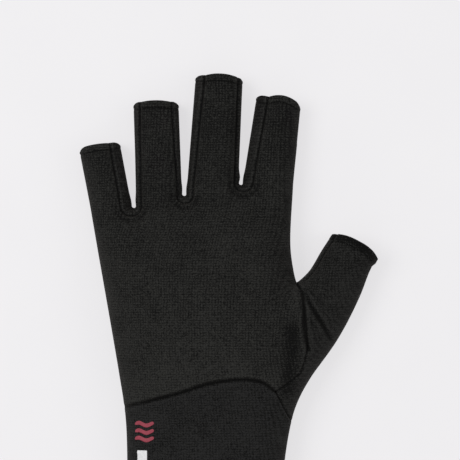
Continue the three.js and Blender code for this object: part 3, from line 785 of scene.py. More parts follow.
# %% Grids over the pattern
NEAR_SEAM = [0.18, 0.38, 0.62, 0.9, 1.25, 1.7, 2.25]
NEAR_HEM = [0.25, 0.5, 0.8, 1.3]
OVER_SIDE = [9.0 * (1 - math.cos(math.radians(a))) for a in range(5, 61, 5)]
STEP = 0.85
FOLD_STEP = 0.6
THUMB_STRIP_STEP = 0.4
NEAR_SHARE = 0.42
WIDE = {"seam": NEAR_SEAM, "side": OVER_SIDE, "hem": NEAR_HEM, "plain": []}


def spread(length, start, end, step=STEP):
    first = [v for v in WIDE[start] if v < NEAR_SHARE * length]
    last = [v for v in WIDE[end] if v < NEAR_SHARE * length]
    low = first[-1] if first else 0.0
    high = length - (last[-1] if last else 0.0)
    between = np.linspace(low, high, max(1, round((high - low) / step)) + 1)
    return np.unique(np.round([0.0, *first, *between, *(length - v for v in last), length], 6))


def rows_to_hem(length, hem, start="seam"):
    fold = length - hem
    body = spread(fold, start, "hem")
    folded = fold + spread(hem - END_ROUND, "hem", "plain", FOLD_STEP)
    return SimpleNamespace(
        share=np.concatenate([body, folded[1:]]) / length,
        hem=np.concatenate([np.zeros(len(body)), np.full(len(folded) - 1, HEM_FOLD)]),
    )


def patch(bottom, top, left, right):
    us, ut, vl, vr = (shares_of(line) for line in (bottom, top, left, right))
    du = (ut - us)[None, :]
    dv = (vr - vl)[:, None]
    u = (us[None, :] + du * vl[:, None]) / (1 - du * dv)
    v = (vl[:, None] + dv * u)[..., None]
    u = u[..., None]
    upright = mix(bottom[None], top[None], v)
    level = mix(left[:, None], right[:, None], u)
    corners = mix(mix(bottom[0], bottom[-1], u), mix(top[0], top[-1], u), v)
    return upright + level - corners


print("a 20 mm wide finger gets", len(spread(20.0, "seam", "seam")), "lines across it")


# %% Joining grids, and the rim of the cloth
WELDS_PER_MM = 200
WELD_SHIFT = 0.137
RIM_STEPS = 6


def grid_quads(ids):
    corners = [ids[:-1, :-1], ids[:-1, 1:], ids[1:, 1:], ids[1:, :-1]]
    return np.stack(corners, axis=-1).reshape(-1, 4)


def join(points):
    keys = np.round(points * WELDS_PER_MM + WELD_SHIFT).astype(np.int64)
    _, first, same = np.unique(keys, axis=0, return_index=True, return_inverse=True)
    return first, same.reshape(-1)


def open_edges(quads, size):
    starts = quads.T.ravel()
    ends = np.roll(quads, -1, axis=1).T.ravel()
    real = starts != ends
    starts, ends = starts[real], ends[real]
    alone = ~np.isin(starts * size + ends, ends * size + starts)
    return starts[alone], ends[alone]


def rim_between(outer, inner, out, quads, end):
    size = len(outer)
    starts, ends = open_edges(quads, size)
    folded = ((end[starts] > 0) & (end[ends] > 0))[:, None]
    aside = np.cross(outer[ends] - outer[starts], out[starts]) * folded
    push = np.zeros((size, 3))
    np.add.at(push, starts, aside)
    np.add.at(push, ends, aside)
    push /= np.maximum(np.linalg.norm(push, axis=1), 1e-9)[:, None]
    border = np.unique(starts)
    place_of = np.zeros(size, int)
    place_of[border] = np.arange(len(border))
    rings = []
    numbers = [np.arange(size)]
    for k in range(1, RIM_STEPS):
        turn = math.pi * k / RIM_STEPS
        sunk = mix(outer[border], inner[border], (1 - math.cos(turn)) / 2)
        rings.append(sunk + push[border] * (END_ROUND * math.sin(turn) * end[border])[:, None])
        numbers.append(2 * size + (k - 1) * len(border) + place_of)
    numbers.append(np.arange(size) + size)
    faces = [
        np.stack([here[ends], here[starts], after[starts], after[ends]], axis=-1)
        for here, after in zip(numbers, numbers[1:])
    ]
    return np.vstack(rings), np.vstack(faces)


print("a rim is", RIM_STEPS, "faces round")

# %% A piece of cloth, from its grids to a mesh
PATTERN_ORIGIN = np.array([-12.341, -118.997, 0.0])
cuts = {}


def to_frame(points):
    return (points + PATTERN_ORIGIN) / 1000.0


def mesh_object(name, points, faces, material):
    data = bpy.data.meshes.new(name)
    data.from_pydata(points.tolist(), [], faces)
    data.shade_smooth()
    data.materials.append(material)
    made = bpy.data.objects.new(name, data)
    bpy.context.scene.collection.objects.link(made)
    return made


class Piece:
    def __init__(self, name, strip=False):
        self.name = name
        self.strip = strip
        self.fields = []
        self.shapes = []
        self.quads = []
        self.count = 0

    def add(self, plan, side, on_edge, gap, hem=0.0, end=False, turned=False):
        shape = plan.shape[:2]
        self.shapes.append(shape)
        parts = [np.broadcast_to(v, shape).ravel() for v in (side, on_edge, gap, hem, end)]
        self.fields.append((plan.reshape(-1, 2), *parts))
        ids = np.arange(shape[0] * shape[1]).reshape(shape) + self.count
        quads = grid_quads(ids)
        self.quads.append(quads[:, ::-1] if turned else quads)
        self.count += ids.size

    def mesh(self, material):
        plan, side, on_edge, gap, hem, end = (np.concatenate(v) for v in zip(*self.fields))
        base, out, upwards, to_side_seam = shell(plan, side, on_edge.astype(bool), gap)
        first, same = join(base)
        base, out = base[first], out[first]
        move, look = relief(plan[first], side[first], upwards[first], to_side_seam[first], self.strip)
        outer = base + out * move[:, None]
        inner = base - out * (WALL + hem[first])[:, None]
        quads = same[np.vstack(self.quads)]
        rings, rim = rim_between(outer, inner, out, quads, end[first].astype(float))
        points = to_frame(np.vstack([outer, inner, rings]))
        faces = np.vstack([quads, quads[:, ::-1] + len(outer), rim])
        clean = [list(dict.fromkeys(face)) for face in faces.tolist()]
        clean = [face for face in clean if len(face) > 2]
        made = mesh_object(self.name, points, clean, material)
        # The outer face carries the painted highlight and shade from relief(); the inner face and the rim
        # carry none.
        painted_light_and_shade = np.zeros(len(points))
        painted_light_and_shade[: len(outer)] = look
        made.data.attributes.new("painted_light_and_shade", "FLOAT", "POINT").data.foreach_set("value", painted_light_and_shade)
        cuts[self.name] = self.measure(points[same], points[quads])
        print(f"{self.name}: {len(clean)} faces, {cuts[self.name].area * 1e4:.0f} cm2 of cloth")
        return made

    def measure(self, points, quads):
        a, b, c, d = (quads[:, k] for k in range(4))
        cut = SimpleNamespace(widths=[], lengths=[])
        cut.area = float(np.linalg.norm(np.cross(c - a, d - b), axis=1).sum() / 2)
        start = 0
        for shape in self.shapes:
            grid = points[start : start + shape[0] * shape[1]].reshape(*shape, 3)
            start += shape[0] * shape[1]
            cut.widths.append(float(np.linalg.norm(np.diff(grid, axis=1), axis=2).sum(1).max()))
            cut.lengths.append(float(np.linalg.norm(np.diff(grid, axis=0), axis=2).sum(0).max()))
        return cut


print("the folded hems are", WALL + HEM_FOLD, "mm thick and the rest of the cloth", WALL, "mm")

# %% [markdown]
# ## Shader sums that read like sums
#
# A material in Blender is a graph of nodes, and a long formula drawn as nodes is hard to read.
# The small class below wraps one socket, so that a formula can be written in Python and every
# sign adds the node that does it, with the socket first: socket * 2 works, 2 * socket doesn't.
# Numbers alone are worked out by Python and never become nodes.

# %% A socket that knows arithmetic


def pick(sockets, key):
    if isinstance(key, int):
        return sockets[key]
    exact = [s for s in sockets if s.identifier == key]
    return exact[0] if exact else sockets[key]


class Socket:
    def __init__(self, tree, socket):
        self.tree = tree
        self.socket = socket

    def node(self, kind, settings, sockets, output=0):
        made = self.tree.nodes.new(kind)
        for name, value in settings.items():
            setattr(made, name, value)
        for key, value in sockets.items():
            socket = pick(made.inputs, key)
            if isinstance(value, Socket):
                self.tree.links.new(value.socket, socket)
            else:
                socket.default_value = value
        return Socket(self.tree, pick(made.outputs, output))

    def maths(self, operation, *values):
        return self.node("ShaderNodeMath", {"operation": operation}, dict(enumerate(values)))

    def __add__(self, other):
        return self.maths("ADD", self, other)

    def __sub__(self, other):
        return self.maths("SUBTRACT", self, other)

    def __mul__(self, other):
        return self.maths("MULTIPLY", self, other)

    def sine(self):
        return self.maths("SINE", self)

    def colours(self, low, high):
        sockets = {"Factor_Float": self, "A_Color": low, "B_Color": high}
        return self.node("ShaderNodeMix", {"data_type": "RGBA"}, sockets, "Result_Color")

    def stretched(self, scale):
        sockets = {0: self, 1: scale}
        return self.node("ShaderNodeVectorMath", {"operation": "MULTIPLY"}, sockets)

    def part(self, name):
        return self.node("ShaderNodeSeparateXYZ", {}, {0: self}, name)

    def speckle(self, scale, detail):
        sockets = {"Vector": self, "Scale": scale, "Detail": detail, "Roughness": 0.55}
        return self.node("ShaderNodeTexNoise", {}, sockets, "Fac")

    def bumped(self, strength, distance):
        sockets = {"Strength": strength, "Distance": distance, "Height": self}
        return self.node("ShaderNodeBump", {}, sockets)


def new_finish(name):
    material = bpy.data.materials.new(name)
    material.use_nodes = True
    tree = material.node_tree
    tree.nodes.clear()
    output = tree.nodes.new("ShaderNodeOutputMaterial")
    start = Socket(tree, output.inputs["Surface"])
    here = start.node("ShaderNodeTexCoord", {}, {}, "Object").stretched((1000.0, 1000.0, 1000.0))
    return material, here, output


def painted(material, here, output, settings, changing):
    shader = here.node("ShaderNodeBsdfPrincipled", {}, {**settings, **changing}, "BSDF")
    material.node_tree.links.new(shader.socket, output.inputs["Surface"])
    return material


print("a sum of two sockets adds one Math node")

# %% [markdown]
# ## Black stretch cloth
#
# The glove's cloth is a close, matt knit with fine ribs up the hand and rows across it. It is
# nearly black, and only the tops of the yarns catch some light. Ribs and rows are sines of the
# place in millimetres, and noise of the yarns' own size breaks them up, so nothing repeats and
# nothing needs unwrapping. The same sum lifts the face a little as a bump. Where the cloth
# stands up beside a seam it gets a painted highlight, and down in the seam painted shade: the
# mesh carries that painted light and shade as one number for each of its points, which the
# finish reads. The cloth also gets a little darker towards the fingers, as painted shade. Five
# finishes differ a little in how light they are; the thumb's is the back's cloth set darker.

# %% The cloth's finish
# Painted shade: the cloth's colour gets darker up towards the fingers, which stand lower than the back of
# the hand and catch less light.
SHADE_TOWARDS_FINGERS_PER_MM = -0.0021
DARKER = -1.48


def cloth_finish(name, dark, light, across=1.45, up=1.28):
    material, here, output = new_finish(name)
    wander = here.speckle(0.35, 2.0) * 5.0
    round_side = here.part("X") + here.part("Z") * 0.8
    ribs = (round_side * (2 * math.pi / across) + wander).sine()
    rows = (here.part("Y") * (2 * math.pi / up) - wander).sine()
    yarns = here.speckle(1.6, 2.0)
    tufts = here.speckle(0.6, 2.0)
    slow = here.speckle(0.06, 2.0)
    # Painted light and shade read from the mesh: lighter on ridges, darker in seams, creases and under
    # hems.
    painted_light_and_shade = here.node("ShaderNodeAttribute", {"attribute_name": "painted_light_and_shade"}, {}, "Fac")
    weave = ribs * 0.13 + rows * 0.15 + ribs * rows * 0.1 + yarns * 2.6 + tufts * 0.7
    # Painted shade towards the fingers.
    shade_towards_fingers = here.part("Y") * SHADE_TOWARDS_FINGERS_PER_MM
    tone = weave + slow * 0.6 + painted_light_and_shade * 0.45 + shade_towards_fingers + DARKER
    height = weave * 0.4
    settings = {
        "Specular IOR Level": 0.08,
        "Sheen Weight": 0.04,
        "Sheen Roughness": 0.5,
        "Sheen Tint": (0.95, 0.86, 0.78, 1.0),
        "IOR": 1.45,
    }
    changing = {
        "Base Color": tone.colours((dark, dark, dark, 1.0), (*light, 1.0)),
        "Roughness": yarns * 0.15 + 0.8,
        "Normal": height.bumped(0.7, 0.0002),
    }
    return painted(material, here, output, settings, changing)


back_cloth = cloth_finish("back_cloth", 0.0018, (0.0206, 0.0206, 0.0190))
palm_cloth = cloth_finish("palm_cloth", 0.0017, (0.0192, 0.0192, 0.0179))
side_cloth = cloth_finish("side_cloth", 0.0018, (0.0216, 0.0213, 0.0200), across=1.0, up=1.6)
cuff_cloth = cloth_finish("cuff_cloth", 0.0008, (0.0152, 0.0152, 0.0150))
# Painted shade: thumb_cloth is the back's cloth set a little darker.
thumb_cloth = cloth_finish("thumb_cloth", 0.0012, (0.0172, 0.0172, 0.0162))
print("five cloth finishes, the lightest", side_cloth.name, "and the darkest", cuff_cloth.name)

# %% Thread and print finishes


def thread_finish(name, dark, light):
    material, here, output = new_finish(name)
    twist = (here.part("X") * 9.0 + here.part("Y") * 13.0).sine() * 0.5 + 0.5
    tone = twist * 0.7 + here.speckle(3.0, 2.0) * 0.3
    settings = {"Specular IOR Level": 0.06}
    changing = {
        "Base Color": tone.colours((dark, dark, dark, 1.0), (*light, 1.0)),
        "Roughness": tone * 0.15 + 0.7,
        "Normal": tone.bumped(0.5, 0.0001),
    }
    return painted(material, here, output, settings, changing)


def print_finish(name, low, high):
    material, here, output = new_finish(name)
    worn = here.speckle(0.9, 3.0)
    grain = here.speckle(3.2, 2.0)
    settings = {"Specular IOR Level": 0.35}
    changing = {
        "Base Color": worn.colours((*low, 1.0), (*high, 1.0)),
        "Roughness": grain * 0.2 + 0.5,
        "Normal": grain.bumped(0.35, 0.0001),
    }
    return painted(material, here, output, settings, changing)


dark_thread = thread_finish("dark_thread", 0.0005, (0.0032, 0.0032, 0.0031))
red_print = print_finish("red_print", (0.13, 0.012, 0.024), (0.27, 0.032, 0.052))
white_print = print_finish("white_print", (0.42, 0.42, 0.43), (0.66, 0.66, 0.66))
print("thread and print:", dark_thread.name, red_print.name, white_print.name)

# %% [markdown]
# ## The back and the palm of the hand
#
# The back is one piece of cloth that runs up into the four fingers, and the palm is its twin
# below. The hand is filled between the cuff seam, its outer side, the thumb and the knuckles.
# Each finger is a patch of its own that shares its root line with the hand, so the two are one
# cloth. Between two fingers the edge follows the half circle of the gap's seam.

# %% The hand's plan and its two pieces
for finger in fingers:
    finger.rows = rows_to_hem(finger.length, HEM)


# A folded end is rounded by END_ROUND, but less where the end turns into the finger's side.
def end_turn(finger, away):
    return 1 - np.maximum(
        corner_drop(away, finger.left_corner) / finger.left_corner,
        corner_drop(finger.tip - away, finger.right_corner) / finger.right_corner,
    )


def finger_plan(finger, before, after):
    left_root = fork_seam(before, HALF_GAP)[-1] if before else little_root
    right_root = fork_seam(after, HALF_GAP)[0] if after else index_root
    width = np.linalg.norm(right_root - left_root)
    columns = spread(width, "seam" if before else "side", "seam" if after else "side") / width
    bottom = mix(left_root, right_root, columns[:, None])
    finger.end_turn = end_turn(finger, end_from_left(finger, before, after, columns))
    top = finger_end(finger, before, after, columns)
    top = top - finger.up * (END_ROUND * finger.end_turn)[:, None]
    if before:
        top += finger.across * HALF_GAP * (1 - columns[:, None])
    if after:
        top -= finger.across * HALF_GAP * columns[:, None]
    share = (finger.rows.share / finger.rows.share[-1])[:, None]
    return patch(bottom, top, mix(left_root, top[0], share), mix(right_root, top[-1], share))


finger_plans = [finger_plan(*three) for three in neighbours]
knuckle_line = []
for plan, (_, _, after) in zip(finger_plans, neighbours):
    knuckle_line.append(plan[0])
    if after:
        knuckle_line.append(fork_seam(after, HALF_GAP)[1:-1])
knuckle_line = np.vstack(knuckle_line)
down_thumb_seam = spread(thumb_seam_length, "plain", "seam") / thumb_seam_length
hand_side_length = line_length(hand_side)
up_hand_side = spread(hand_side_length, "plain", "seam") / hand_side_length


def hand_plan():
    across_hand = (knuckle_line[:, 0] - little_root[0]) / (index_root[0] - little_root[0])
    bottom = beside(cuff_seam, across_hand, 1)
    up_thumb_seam = beside(thumb_seam, down_thumb_seam[::-1], -1)
    right = np.vstack([up_thumb_seam, along(hand_side, up_hand_side)[1:]])
    bottom[-1] += right[0] - seam_corner
    right[0] = bottom[-1]
    left = along(hand_left, (right[:, 1] - right[0, 1]) / (index_root[1] - right[0, 1]))
    left[0] = bottom[0]
    return patch(bottom, knuckle_line, left, right)


hand = hand_plan()
crotch_row = len(down_thumb_seam) - 1


def hand_piece(name, side, material):
    piece = Piece(name)
    outline = np.zeros(hand.shape[:2], bool)
    outline[:, 0] = True
    outline[crotch_row:, -1] = True
    piece.add(hand, side, outline, outline * SEAM_GAP, turned=side < 0)
    for finger, plan in zip(fingers, finger_plans):
        outline = np.zeros(plan.shape[:2], bool)
        if finger is fingers[0]:
            outline[:, 0] = True
        if finger is fingers[-1]:
            outline[:, -1] = True
        last = (np.arange(len(plan)) == len(plan) - 1)[:, None] * finger.end_turn[None, :]
        hem = finger.rows.hem[:, None]
        piece.add(plan, side, outline, outline * SEAM_GAP, hem, last, turned=side < 0)
    return piece.mesh(material)


# %% [markdown]
# ## The strips between the fingers
#
# A strip of cloth runs down the side of one finger, round the bottom of the gap and up the side
# of the next. It folds over the gap's edge, so half of it shows from the back and half from the
# palm, and it gives a finger its depth. It is one long grid: along it the stations of the two
# fingers and the half circle, and across it the way from the back's seam over the edge to the
# palm's seam.

# %% A strip


def strip_piece(fork, material):
    seam_arc = fork_seam(fork, -HALF_GAP)
    edge_arc = fork.bottom
    width = (fork.left_root + fork.right_tip) / 2
    over = spread(width, "side", "seam", FOLD_STEP) / width
    across = np.concatenate([over[::-1], -over[1:]])
    to_seam = np.abs(across)

    def side_of(finger, edge_root, seam_root, away):
        turned = end_turn(finger, away)
        end = end_place(finger, away) - finger.up * (END_ROUND * turned)[:, None]
        share = (finger.rows.share / finger.rows.share[-1])[:, None, None]
        return mix(mix(edge_root, seam_root, to_seam[:, None])[None], end[None], share), turned

    left_away = fork.left.tip - to_seam * (fork.left_tip - HALF_GAP)
    right_away = to_seam * (fork.right_tip - HALF_GAP)
    left, left_turn = side_of(fork.left, edge_arc[0], seam_arc[0], left_away)
    right, right_turn = side_of(fork.right, edge_arc[-1], seam_arc[-1], right_away)
    round_bottom = mix(edge_arc[1:-1, None], seam_arc[1:-1, None], to_seam[None, :, None])
    plan = np.concatenate([left[::-1], round_bottom, right])
    hems = np.concatenate([fork.left.rows.hem[::-1], np.zeros(len(round_bottom)), fork.right.rows.hem])
    ends = np.zeros(plan.shape[:2])
    ends[0] = left_turn
    ends[-1] = right_turn
    side = np.where(across < 0, -1.0, 1.0)[None, :]
    piece = Piece(f"fourchette_{fork.name}_cloth", strip=True)
    piece.add(plan, side, (across == 0)[None, :], 0.0, hems[:, None], ends, turned=True)
    return piece.mesh(material)


# %% [markdown]
# ## The thumb
#
# The thumb is sewn of two pieces that reach down to the cuff seam. The lower one wraps over the
# thumb's inner edge, where it shows from the back as a narrow strip with a seam beside it. So
# the upper piece stops short of that edge, and the lower one gets a second grid for its strip.

# %% The thumb's two pieces
thumb_rows = rows_to_hem(THUMB_LENGTH, HEM, start="plain")
CLEAR_OF_STRIP = 0.006


def thumb_plan(strip):
    kept = down_thumb_seam[down_thumb_seam > strip / thumb_seam_length + CLEAR_OF_STRIP]
    left = np.vstack([beside(thumb_seam, kept[::-1], 1), beside_inner(strip, thumb_rows.share)])
    width = thumb_end_width - strip
    columns = spread(width, "seam" if strip else "side", "side") / width
    root = beside(corner_seam, columns, 1)
    left[0] += root[0] - seam_corner
    root[0] = left[0]
    right = along(thumb_side, shares_of(left))
    right[0] = root[-1]
    end = thumb_end(mix(strip / thumb_end_width, 1.0, columns)) - thumb_end_out * END_ROUND
    left[-1] = end[0]
    right[-1] = end[-1]
    return patch(root, end, left, right)


def thumb_piece(name, side, material):
    plan = thumb_plan(THUMB_STRIP + HALF_GAP if side > 0 else 0.0)
    first = len(plan) - len(thumb_rows.share)
    hem = np.concatenate([np.zeros(first), thumb_rows.hem])[:, None]
    last = (np.arange(len(plan)) == len(plan) - 1)[:, None]
    outline = np.zeros(plan.shape[:2], bool)
    outline[:, -1] = True
    gap = outline * SEAM_GAP
    if side < 0:
        outline[first:, 0] = True
    piece = Piece(name)
    piece.add(plan, side, outline, gap, hem, last, turned=side < 0)
    if side < 0:
        over = spread(THUMB_STRIP, "side", "seam", THUMB_STRIP_STEP) / THUMB_STRIP
        edge = plan[first:, 0]
        seam = beside_inner(THUMB_STRIP - HALF_GAP, thumb_rows.share)
        wrap = mix(edge[:, None], seam[:, None], over[None, :, None])
        piece.add(wrap, 1.0, (over == 0)[None, :], 0.0, thumb_rows.hem[:, None], last[first:])
    return piece.mesh(material)


# %% [markdown]
# ## The cuff
#
# The cuff is a short tube of two pieces. Its upper edge follows the arched seam over the back of
# the hand and then drops steeply beside the thumb, and its open end has a deep hem.

# %% The cuff's two pieces


def cuff_piece(name, side, material):
    rows = rows_to_hem(CUFF_LENGTH, CUFF_HEM)
    share = 1 - rows.share[::-1]
    seam_length = line_length(cuff_seam)
    corner_length = line_length(corner_seam)
    over_seam = spread(seam_length, "side", "plain") / seam_length
    over_corner = spread(corner_length, "plain", "side") / corner_length
    top = np.vstack([beside(cuff_seam, over_seam[:-1], -1), beside(corner_seam, over_corner, -1)])
    left = along(cuff_left, share)
    right = along(cuff_right, share)
    left[-1] = top[0]
    right[-1] = top[-1]
    bottom = mix(left[0], right[0], ((top[:, 0] - top[0, 0]) / (top[-1, 0] - top[0, 0]))[:, None])
    plan = patch(bottom, top, left, right)
    outline = np.zeros(plan.shape[:2], bool)
    outline[:, [0, -1]] = True
    first = (np.arange(len(plan)) == 0)[:, None]
    piece = Piece(name)
    piece.add(plan, side, outline, outline * SEAM_GAP, rows.hem[::-1][:, None], first, turned=side < 0)
    return piece.mesh(material)


# %% Sew the nine pieces
sewn = {
    "back_panel": hand_piece("back_of_hand", 1.0, back_cloth),
    "palm_panel": hand_piece("palm_of_hand", -1.0, palm_cloth),
    "thumb_back": thumb_piece("thumb_upper", 1.0, thumb_cloth),
    "thumb_palm": thumb_piece("thumb_lower", -1.0, palm_cloth),
    "cuff_back": cuff_piece("cuff_upper", 1.0, cuff_cloth),
    "cuff_palm": cuff_piece("cuff_lower", -1.0, cuff_cloth),
}
for fork in forks:
    sewn[f"fourchette_{fork.name}"] = strip_piece(fork, side_cloth)
slots = {back_cloth: "back_cloth", thumb_cloth: "back_cloth", palm_cloth: "palm_cloth"}
slots |= {side_cloth: "side_cloth", cuff_cloth: "cuff_cloth"}
for node, piece in sewn.items():
    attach(piece, "root")
    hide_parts(node)
print("sewn:", ", ".join(sorted(piece.name for piece in sewn.values())))

# %% [markdown]
# ## The flat pieces
#
# Each piece was cut from flat cloth before it was sewn. Its size is worked out on the grids,
# the longest way across and the longest way up, with the finger added to the hand and the
# thumb's strip to the thumb, and nothing after uses it. Stretch cloth is cut a little smaller
# than what it will cover.

for piece in sewn.values():
    cut = cuts[piece.name]
    wide = cut.widths[0]
    long = cut.lengths[0]
    if piece.name.endswith("_of_hand"):
        long += max(cut.lengths[1:])
    if piece.name == "thumb_lower":
        wide += cut.widths[1]

# %% [markdown]
# ## Stitches
#
# The seam of the cuff is oversewn with thick black thread, which shows as a row of short dark
# rungs, and every hem has a row of small stitches where its fold ends. A stitch is a short
# capsule that dips into the cloth at both ends. All stitches of a row are one mesh, because
# hundreds of objects would only slow Blender down. A picture of stitches would save the mesh,
# but it would look flat from the side.

# %% One row of stitches
# Along a stitch, from -1 to 1, and how thick it is there.
STITCH_RINGS = [(-1, 0.25), (-0.85, 0.6), (-0.5, 0.9), (0, 1), (0.5, 0.9), (0.85, 0.6), (1, 0.25)]
STITCH_ROUND = 8
STITCH_FLATNESS = 0.6
STITCH_DIP = 0.35
STITCH_LIFT = 0.1


def on_face(at, side, lift):
    sides_up = np.full(len(at), side)
    points, out, upwards, to_side_seam = shell(at, sides_up, np.zeros(len(at), bool), 0.0)
    move, _ = relief(at, sides_up, upwards, to_side_seam, False)
    return points + out * (move + lift)[:, None], out


def stitch_row(name, line, pitch, length, thick, side=1.0):
    total = line_length(line)
    count = int(total // pitch)
    middles = (np.arange(count) + 0.5) / count
    s, thickness = np.array(STITCH_RINGS).T
    at = along(line, middles[:, None] + s * length / 2 / total).reshape(-1, 2)
    centre, out = on_face(at, side, STITCH_LIFT)
    centre, out = centre.reshape(count, -1, 3), out.reshape(count, -1, 3)
    run = centre[:, -1:] - centre[:, :1]
    run /= np.linalg.norm(run, axis=2)[..., None]
    aside = np.cross(run, out)
    centre = centre - out * (STITCH_DIP * thick * s**2)[:, None]
    turn = 2 * math.pi * np.arange(STITCH_ROUND) / STITCH_ROUND
    radius = (thick * thickness / 2)[:, None, None]
    across = aside[:, :, None] * np.cos(turn)[:, None] * radius
    upward = out[:, :, None] * np.sin(turn)[:, None] * radius * STITCH_FLATNESS
    points = centre[:, :, None] + across + upward
    faces = []
    ids = np.arange(count * len(s) * STITCH_ROUND).reshape(count, len(s), STITCH_ROUND)
    for rings in ids:
        faces += grid_quads(np.hstack([rings, rings[:, :1]])).tolist()
        faces += [rings[0, ::-1].tolist(), rings[-1].tolist()]
    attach(mesh_object(name, to_frame(points.reshape(-1, 3)), faces, dark_thread), "root")
    print(name, "has", count, "stitches")


def stitch_both(name, line, pitch, length, thick, under=1.0):
    stitch_row(name, line, pitch, length, thick)
    stitch_row(f"{name}_under", line, pitch, length, thick * under, side=-1.0)


# %% Sew the cuff's seam and the hems
OVERSEWN_FROM = -28.5
OVERSEWN_TO = 29.0
SEAM_PITCH = 2.25
SEAM_STITCH = 1.9
SEAM_THICK = 0.9
HEM_PITCH = 1.45
HEM_STITCH = 0.9
HEM_THICK = 0.6

oversewn = np.interp([OVERSEWN_FROM, OVERSEWN_TO], cuff_seam[:, 0], shares_of(cuff_seam))
oversewn_line = along(cuff_seam, np.linspace(*oversewn, 60))
stitch_both("cuff_seam_stitches", oversewn_line, SEAM_PITCH, SEAM_STITCH, SEAM_THICK, under=0.6)

for finger, before, after in neighbours:
    hem_line = finger_end(finger, before, after, np.linspace(0.08, 0.92, 30), rounded=False)
    hem_line = hem_line - finger.up * HEM
    stitch_both(f"{finger.name}_hem_stitches", hem_line, HEM_PITCH, HEM_STITCH, HEM_THICK)

# A bar of close stitches holds the thumb's crotch, where four layers of cloth meet.
crotch_line = along(thumb_seam, np.linspace(0.0, 0.05, 12)) + thumb_aside * 0.2
stitch_row("crotch_stitches", crotch_line, pitch=0.7, length=1.5, thick=1.3)

thumb_hem_line = thumb_end(np.linspace(0.12, 0.93, 30)) - thumb_end_out * THUMB_HEM
stitch_both("thumb_hem_stitches", thumb_hem_line, HEM_PITCH, HEM_STITCH, HEM_THICK)

cuff_hem_line = np.array([place(-37.0, CUFF_HEM), place(37.0, CUFF_HEM)])
stitch_both("cuff_hem_stitches", cuff_hem_line, pitch=1.8, length=1.2, thick=HEM_THICK)

# %% [markdown]
# ## The print
#
# By the outer side of the cuff such gloves have a small print. This one is a plain sign for
# warmth: three wavy ribbons in red with a white bar below. Printed ink is a thin skin on the
# cloth, so each shape is laid on the cuff's own face and raised by less than a tenth of a
# millimetre. Its edge goes down into the cloth, so that no gap can show.

# %% Ribbons and a bar on the cuff
INK = 0.08
INK_FOOT = 0.3
RIBBON_LEFT = -34.75
RIBBON_RIGHT = -25.2
RIBBON_LEVELS = (56.2, 59.9, 63.6)
RIBBON_HALF = 1.0
RIBBON_WAVE = 0.6
RIBBON_TURNS = 1.25
BAR_LEFT = -33.5
BAR_RIGHT = -28.7
BAR_LOW = 45.0
BAR_HIGH = 50.5


def printed(name, plan, material):
    rows, columns = plan.shape[:2]
    face, out = on_face(plan.reshape(-1, 2), 1.0, INK)
    foot = face - out * (INK + INK_FOOT)
    ids = np.arange(rows * columns).reshape(rows, columns)
    quads = grid_quads(ids)
    border = np.concatenate([ids[0, :-1], ids[:-1, -1], ids[-1, :0:-1], ids[:0:-1, 0]])
    onward = np.roll(border, -1)
    edge = np.stack([onward, border, border + ids.size, onward + ids.size], axis=-1)
    faces = np.vstack([quads, quads[:, ::-1] + ids.size, edge])
    points = to_frame(np.vstack([face, foot]))
    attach(mesh_object(name, points, faces.tolist(), material), "root")


share = np.linspace(0.0, 1.0, 41)
upward = np.linspace(-1.0, 1.0, 6)
ribbon_x = mix(RIBBON_LEFT, RIBBON_RIGHT, share)
wave = RIBBON_WAVE * np.sin(2 * math.pi * RIBBON_TURNS * share)
half = RIBBON_HALF * np.sqrt(1.02 - np.abs(2 * share - 1) ** 8)
for k, level in enumerate(RIBBON_LEVELS):
    y = level + wave[None, :] + upward[:, None] * half[None, :]
    ribbon = np.stack(np.broadcast_arrays(ribbon_x[None, :], y), axis=-1)
    printed(f"warm_ribbon_{k + 1}", ribbon, red_print)

bar_x, bar_y = np.meshgrid(np.linspace(BAR_LEFT, BAR_RIGHT, 12), np.linspace(BAR_LOW, BAR_HIGH, 14))
printed("white_bar", np.stack([bar_x, bar_y], axis=-1), white_print)
print("printed three ribbons and a bar")

# %% [markdown]
# ## The floor, the light and the camera
#
# The glove lies on a light table, the way such goods are photographed for a catalogue: the pane
# shines a little by itself, so the ground stays even and pale right up to the cloth and between
# the fingers. The camera looks straight down through a long lens, so that the sides don't
# spread. Soft light comes from everywhere, and a little more from the left. Blender's usual
# film-like view would grey the pale ground, so the plain one is chosen.

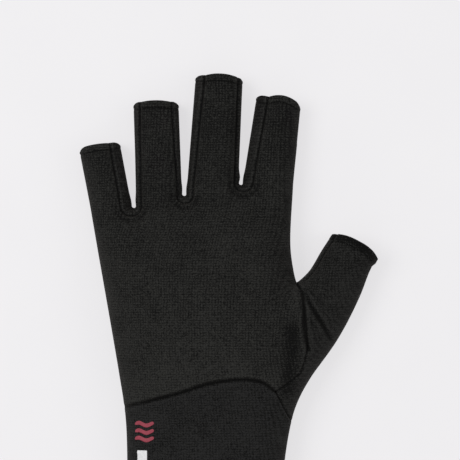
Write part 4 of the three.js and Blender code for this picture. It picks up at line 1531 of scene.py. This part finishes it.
# %% Floor
under_glove = (0, 0, -0.0004)
bpy.ops.mesh.primitive_circle_add(vertices=96, radius=6.0, fill_type="NGON", location=under_glove)
floor = bpy.context.object
floor.name = "light_table"
pane, here, output = new_finish("lit_pane")
cloud = here.speckle(0.02, 2.0)
pane_settings = {"Specular IOR Level": 0.05, "Emission Strength": 0.685}
pane_look = {
    "Base Color": cloud.colours((0.14, 0.14, 0.143, 1.0), (0.15, 0.15, 0.153, 1.0)),
    "Emission Color": cloud.colours((0.985, 0.97, 0.99, 1.0), (1.0, 0.985, 1.0, 1.0)),
    "Roughness": cloud * 0.1 + 0.85,
}
floor.data.materials.append(painted(pane, here, output, pane_settings, pane_look))
print("floor at", round(floor.location.z * 1000, 2), "mm")

# %% Light
AIM = Vector((0, 0.02, 0))


def soft_light(name, at, size, power, colour):
    lamp = bpy.data.lights.new(name, "AREA")
    lamp.shape = "DISK"
    lamp.size = size
    lamp.energy = power
    lamp.color = colour
    made = bpy.data.objects.new(name, lamp)
    made.location = at
    made.rotation_euler = (AIM - made.location).to_track_quat("-Z", "Y").to_euler()
    bpy.context.scene.collection.objects.link(made)


soft_light("left_light", (-0.95, 0.35, 1.25), size=0.9, power=17.0, colour=(1.0, 0.99, 0.97))
soft_light("right_light", (1.2, 0.0, 1.0), size=0.8, power=5.0, colour=(1.0, 0.97, 0.94))
world = bpy.data.worlds.new("pale_room")
world.use_nodes = True
room = world.node_tree.nodes["Background"].inputs
room["Color"].default_value = (0.97, 0.98, 1.0, 1.0)
room["Strength"].default_value = 0.72
bpy.context.scene.world = world
bpy.context.scene.view_settings.view_transform = "Standard"

# %% Camera
VIEW_WIDTH = 0.230
VIEW_MIDDLE = Vector((0.00016, 0.0410, 0.010))
SENSOR = 36.0
CAMERA_HEIGHT = 1.5
camera_data = bpy.data.cameras.new("camera")
camera_data.sensor_width = SENSOR
camera_data.lens = SENSOR * CAMERA_HEIGHT / VIEW_WIDTH
camera = bpy.data.objects.new("camera", camera_data)
camera.location = VIEW_MIDDLE + Vector((0, 0, CAMERA_HEIGHT))
camera.rotation_euler = (0.0, 0.0, 0.0)
bpy.context.scene.collection.objects.link(camera)
bpy.context.scene.camera = camera
print("lens", round(camera_data.lens), "mm")

# %% Update the scene
bpy.context.view_layer.update()
